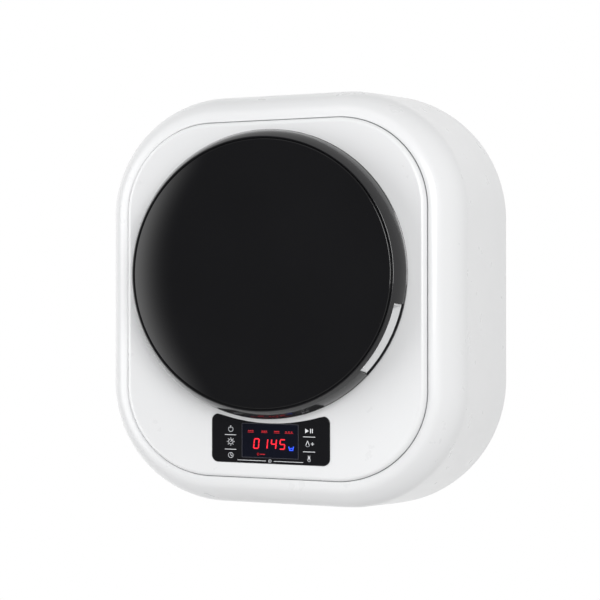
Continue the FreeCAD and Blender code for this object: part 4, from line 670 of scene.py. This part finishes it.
def make_grip():
    """The light grey finger recess with a softly rounded floor and closed ends."""
    back, front = -grip_high.y, -grip_low.y
    floor = DOOR_RADIUS - TAPER / 2 - 17 * MM
    wide, narrow, wall = DOOR_RADIUS - TAPER * 0.28, DOOR_RADIUS - TAPER * 0.86, 2 * MM
    outline = eased([(back, floor - wall, 1 * MM), (back, wide, 0.5 * MM), (back + wall, wide, 0.7 * MM),
                     (back + wall, floor, 4 * MM), (front - wall, floor, 4 * MM),
                     (front - wall, narrow, 0.5 * MM), (front, narrow, 0.3 * MM),
                     (front, floor - wall, 1 * MM)])
    piece = turned("grip_pocket", outline, GRIP_MIDDLE - GRIP_SPAN / 2 + 0.2, GRIP_SPAN - 0.4, 48)
    dress(piece, FINISHES["grip_grey"], "door", ["door_grip"])
    for index, side in enumerate((-1, 1)):
        start = GRIP_MIDDLE + side * (GRIP_SPAN / 2 - 0.6) - 0.4
        stop = turned(f"grip_end_{index + 1}",
                      eased([(back, floor - wall), (back, wide, 0.5 * MM), (front, narrow, 0.5 * MM),
                             (front, floor - wall)]), start, 0.8, 2)
        dress(stop, FINISHES["grip_grey"], "door")


# ---------------------------------------------------------------- touch panel
PLATE_FACE = -plate_low.y
MARK_RISE = 0.03 * MM


class Marks:
    """Flat printed or lit marks on the touch panel, gathered into one piece."""

    def __init__(self):
        self.points = []
        self.faces = []

    def shape(self, outline):
        base, count = len(self.points), len(outline)
        for lift in (-0.2 * MM, MARK_RISE):
            self.points += [(x * MM, -(PLATE_FACE + lift), z * MM) for x, z in outline]
        self.faces.append(tuple(base + i for i in range(count)))
        self.faces.append(tuple(base + count + i for i in range(count)))
        for i in range(count):
            k = (i + 1) % count
            self.faces.append((base + i, base + k, base + count + k, base + count + i))

    def line(self, *points, wide=0.7):
        """A bent stroke through points in millimetres."""
        for first, last in zip(points, points[1:]):
            along = Vector((last[0] - first[0], last[1] - first[1])).normalized() * (wide / 2)
            side = Vector((-along.y, along.x))
            start, end = Vector(first) - along * 0.6, Vector(last) + along * 0.6
            self.shape([tuple(start + side), tuple(end + side), tuple(end - side), tuple(start - side)])

    def ring(self, x, z, radius, start=0, end=360, wide=0.7, steps=22):
        self.line(*arc((x, z), radius, start, end, steps), wide=wide)

    def build(self, name, material):
        piece = make_piece(name, self.points, self.faces)
        return dress(piece, material, "cabinet")


LIT_SEGMENTS = {"0": "abcdef", "1": "bc", "3": "abcdg", "4": "bcfg", "5": "acdfg"}


def draw_digit(marks, figure, x, z, wide=6.4, high=12.2, lean=0.1):
    """A seven-segment digit about its centre."""
    half, up = wide / 2, high / 2
    ends = {"a": ((-half, up), (half, up)), "b": ((half, up), (half, 0)), "c": ((half, 0), (half, -up)),
            "d": ((-half, -up), (half, -up)), "e": ((-half, 0), (-half, -up)),
            "f": ((-half, up), (-half, 0)), "g": ((-half, 0), (half, 0))}
    for segment in LIT_SEGMENTS[figure]:
        (x1, z1), (x2, z2) = ends[segment]
        length = math.hypot(x2 - x1, z2 - z1)
        trim = 0.75 / length
        first = (x + x1 + (x2 - x1) * trim + lean * z1, z + z1 + (z2 - z1) * trim)
        last = (x + x2 - (x2 - x1) * trim + lean * z2, z + z2 - (z2 - z1) * trim)
        marks.line(first, last, wide=1.5)


def draw_keys(marks):
    """Generic icons for the six touch keys, and the rules between them."""
    left, right = -53.5, 52.5
    marks.ring(left, -168.5, 3.1, 125, 415, wide=0.85)
    marks.line((left, -166.6), (left, -163.9), wide=0.85)
    marks.ring(left, -184.6, 3.1, wide=0.8)
    for i in range(8):
        turn = math.pi / 4 * i
        marks.line((left + 4.3 * math.cos(turn), -184.6 + 4.3 * math.sin(turn)),
                   (left + 5.1 * math.cos(turn), -184.6 + 5.1 * math.sin(turn)), wide=0.7)
    marks.line((left, -184.6), (left + 1.6, -182.8), wide=0.8)
    marks.ring(left, -202.2, 3.3, wide=0.8)
    marks.line((left, -199.9), (left, -202.2), (left + 1.9, -203.2), wide=0.75)
    marks.shape([(right - 5.2, -164.6), (right - 0.4, -167.6), (right - 5.2, -170.6)])
    for offset in (1.9, 4.4):
        marks.line((right + offset, -165.2), (right + offset, -170.0), wide=1.2)
    drop = arc((right - 2, -185.2), 2.5, 200, 340, 14)
    marks.line(*(drop + [(right - 2, -180.2), drop[0]]), wide=0.8)
    marks.line((right + 2.6, -184), (right + 6.2, -184), wide=0.8)
    marks.line((right + 4.4, -182.2), (right + 4.4, -185.8), wide=0.8)
    bulb = arc((right, -204.6), 1.9, 60, -240, 16)
    marks.line(*([(right + 0.95, -199.2)] + bulb + [(right - 0.95, -199.2)]), wide=0.7)
    marks.line((right, -204.6), (right, -200.6), wide=0.8)
    for start, end, heights in ((-61.5, -46.3, (-175.8, -194.6)), (44.7, 60.4, (-175.2, -194.2))):
        for height in heights:
            marks.line((start, height), (end, height), wide=0.75)


def make_touch_panel():
    """The black plate with its smoked window, keys, digits and legends, drawn in millimetres."""
    plate = prism("touch_plate", plate_outline(), FACE - SEAT_DEPTH, PLATE_FACE, 0.5 * MM)
    even_normals(plate)
    dress(plate, FINISHES["panel_gloss"], "cabinet", ["control_panel"])
    half, top, low = 38, -160.3, -204
    window = Marks()
    window.shape([(-half, low), (half, low), (half, top), (-half, top)])
    window.build("display_window", WINDOW_SMOKE).location.y = 0.02 * MM
    border = Marks()
    border.line((-half, low), (half, low), (half, top), (-half, top), (-half, low), wide=0.35)
    border.build("display_border", MARK_GREY)
    keys = Marks()
    draw_keys(keys)
    for side in (-1, 1):
        keys.line((side * 5.5, -208), (side * 44.5, -208), wide=0.6)
    keys.build("key_marks", MARK_WHITE)
    child_lock = Marks()
    child_lock.ring(0, -207.9, 1.9, wide=0.6)
    child_lock.ring(0, -207.9, 0.8, wide=0.5, steps=12)
    child_lock.build("lock_mark", MARK_WHITE)
    digits = Marks()
    for figure, x in zip("0145", (-18.3, -6.6, 5.1, 16.8)):
        draw_digit(digits, figure, x, -186)
    digits.build("display_digits", MARK_RED)
    legends = Marks()
    for x, length in ((-26, 8), (-7.6, 8), (9.2, 7), (25.5, 11)):
        legends.line((x - length / 2, -171.6), (x + length / 2, -171.6), wide=0.6)
        for i in range(3):
            dot = x + (i - 1) * length / 3
            legends.line((dot - 0.7, -169.8), (dot + 0.7, -169.8), wide=1.3)
    legends.ring(-16, -199.6, 1.3, wide=0.7, steps=14)
    legends.line((-13, -199.6), (-7, -199.6), wide=1.0)
    legends.build("display_legends", MARK_DIM)
    tap = Marks()
    tap.line((25.4, -188.6), (26.6, -193.2), (30.6, -193.2), (31.8, -188.6), wide=1.1)
    tap.line((26.4, -190.4), (28, -191.4), (29.4, -190.2), (31, -191), wide=0.9)
    tap.build("display_water_level", MARK_BLUE)


# ---------------------------------------------------------------- port
def make_bellows():
    """The moulded rubber seal: a lip on the port, one fold and a grip on the tub's neck."""
    lip = FACE - DISH_DEPTH
    back = lip - WALL
    tub_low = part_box("tub_front")[0]
    neck_end = -tub_low.y
    neck = 127 * MM
    fold = 146.5 * MM
    soft = 1.1 * MM
    outline = eased([
        (lip + 0.2 * MM, PORT_RADIUS + 7 * MM), (lip + 3.2 * MM, PORT_RADIUS + 7 * MM, soft),
        (lip + 4.1 * MM, PORT_RADIUS - 2 * MM, 2 * MM), (lip - 2 * MM, 119 * MM, soft),
        (lip - 4.4 * MM, 120 * MM, soft), (lip - 1 * MM, PORT_RADIUS - 6 * MM, 2 * MM),
        (neck_end + 7.7 * MM, PORT_RADIUS - 6 * MM, 2 * MM), (neck_end + 7.2 * MM, fold - 3 * MM, soft),
        (neck_end + 4.8 * MM, fold - 3 * MM, soft), (neck_end + 4.3 * MM, neck + 0.1 * MM, soft),
        (neck_end - 11 * MM, neck + 0.1 * MM), (neck_end - 11 * MM, neck + 3 * MM, soft),
        (neck_end + 1.5 * MM, neck + 3 * MM, soft), (neck_end + 2.5 * MM, fold, 2 * MM),
        (neck_end + 9.5 * MM, fold, 2 * MM), (neck_end + 10.5 * MM, PORT_RADIUS - 3 * MM, 2 * MM),
        (back - 3.2 * MM, PORT_RADIUS - 3 * MM, 2 * MM), (back - 3.2 * MM, PORT_RADIUS + 7 * MM, soft),
        (back - 0.2 * MM, PORT_RADIUS + 7 * MM, soft), (back - 0.2 * MM, PORT_RADIUS - 0.2 * MM),
        (lip + 0.2 * MM, PORT_RADIUS - 0.2 * MM)], 4)
    piece = turned("bellows_seal", outline, steps=200, angle=50)
    dress(piece, FINISHES["grey_rubber"], "cabinet", ["tub_gasket"])


# ---------------------------------------------------------------- stage
CAMERA_PLACE = (0.4620, -1.6352, -0.0055)
CAMERA_TILT = 90.176
CAMERA_TURN = 16.97
SENSOR = 36
LENS = 68
FLOOR_HALF = 9.0
FLOOR_LEVEL = -0.75
FLOOR_SOLID = 0.35
FLOOR_GONE = 0.9


def make_camera():
    camera = bpy.data.objects.new("camera", bpy.data.cameras.new("camera"))
    bpy.context.scene.collection.objects.link(camera)
    camera.location = CAMERA_PLACE
    camera.rotation_euler = (math.radians(CAMERA_TILT), 0, math.radians(CAMERA_TURN))
    camera.data.sensor_width = SENSOR
    camera.data.lens = LENS
    bpy.context.scene.camera = camera


def softbox(name, place_at, aim, wide, high, power):
    """A rectangular lamp at a place, turned to face its aim; the power is in watts."""
    light = bpy.data.objects.new(name, bpy.data.lights.new(name, "AREA"))
    bpy.context.scene.collection.objects.link(light)
    light.data.shape = "RECTANGLE"
    light.data.size = wide
    light.data.size_y = high
    light.data.energy = power
    light.location = place_at
    light.rotation_euler = (Vector(aim) - Vector(place_at)).to_track_quat("-Z", "Y").to_euler()


def soft_patch(tree, coordinates, direction, outer, inner):
    """How far a direction lies inside a soft round patch; 0 at its outer angle, 1 at its inner."""
    facing = tree.nodes.new("ShaderNodeVectorMath")
    facing.operation = "DOT_PRODUCT"
    facing.inputs[1].default_value = Vector(direction).normalized()
    tree.links.new(coordinates.outputs["Generated"], facing.inputs[0])
    fade = tree.nodes.new("ShaderNodeMapRange")
    fade.interpolation_type = "SMOOTHSTEP"
    fade.inputs["From Min"].default_value = math.cos(math.radians(outer))
    fade.inputs["From Max"].default_value = math.cos(math.radians(inner))
    tree.links.new(facing.outputs["Value"], fade.inputs["Value"])
    return fade.outputs["Result"]


def fading_floor():
    """A pale floor that fades out round the object, so that no horizon shows."""
    material = finish("floor", (0.9, 0.9, 0.9), 0.8, tint=0.01, grain=60, cloud=1.5)
    tree = material.node_tree
    spot = tree.nodes.new("ShaderNodeTexCoord")
    flat = tree.nodes.new("ShaderNodeVectorMath")
    flat.operation = "MULTIPLY"
    flat.inputs[1].default_value = (1, 1, 0)
    tree.links.new(spot.outputs["Object"], flat.inputs[0])
    distance = tree.nodes.new("ShaderNodeVectorMath")
    distance.operation = "LENGTH"
    tree.links.new(flat.outputs["Vector"], distance.inputs[0])
    fade = tree.nodes.new("ShaderNodeMapRange")
    fade.interpolation_type = "SMOOTHSTEP"
    fade.inputs["From Min"].default_value = FLOOR_SOLID
    fade.inputs["From Max"].default_value = FLOOR_GONE
    fade.inputs["To Min"].default_value = 1.0
    fade.inputs["To Max"].default_value = 0.0
    tree.links.new(distance.outputs["Value"], fade.inputs["Value"])
    tree.links.new(fade.outputs["Result"], tree.nodes["Principled BSDF"].inputs["Alpha"])
    return material


WORLD_BASE = (0.52, 0.52, 0.52)
# direction, outer angle, inner angle, colour
WORLD_PATCHES = (((-0.27, 0.96, 0.0), 52, 30, (1.0, 1.0, 1.0)),
                 ((-0.33, -0.94, 0.06), 46, 27, (0.09, 0.09, 0.1)),
                 ((-0.88, -0.47, 0.0), 38, 14, (2.8, 2.8, 2.8)))


def make_surroundings():
    """A pale room: white behind the object, dark where the glass looks, bright at the left."""
    world = bpy.data.worlds.new("studio")
    bpy.context.scene.world = world
    world.use_nodes = True
    tree = world.node_tree
    background = tree.nodes["Background"]
    coordinates = tree.nodes.new("ShaderNodeTexCoord")
    shade = None
    for direction, outer, inner, colour in WORLD_PATCHES:
        factor = soft_patch(tree, coordinates, direction, outer, inner)
        mixed = tree.nodes.new("ShaderNodeMix")
        mixed.data_type = "RGBA"
        mixed.inputs["A"].default_value = (*WORLD_BASE, 1)
        mixed.inputs["B"].default_value = (*colour, 1)
        if shade:
            tree.links.new(shade, mixed.inputs["A"])
        tree.links.new(factor, mixed.inputs["Factor"])
        shade = mixed.outputs["Result"]
    tree.links.new(shade, background.inputs["Color"])
    background.inputs["Strength"].default_value = 1.0

    half, level = FLOOR_HALF, FLOOR_LEVEL
    floor = make_piece("floor", [(-half, -half, level), (half, -half, level), (half, half, level),
                                 (-half, half, level)], [(0, 1, 2, 3)])
    floor.data.materials.append(fading_floor())
    softbox("right_box", (2.1, -1.45, 0.1), (0.1, -0.2, 0), 1.0, 2.0, 4)
    softbox("top_box", (0, -1.6, 2.6), (0, -0.15, 0), 1.8, 1.2, 3)
    softbox("front_box", (1.25, -2.3, 0.5), (0, -0.2, 0), 1.2, 1.2, 33)
    bpy.context.scene.view_settings.view_transform = "Standard"


make_camera()
make_surroundings()
make_shell()
make_front_panel()
make_rim()
make_glass()
make_bowl()
make_grip()
make_touch_panel()
make_bellows()

bpy.context.view_layer.update()
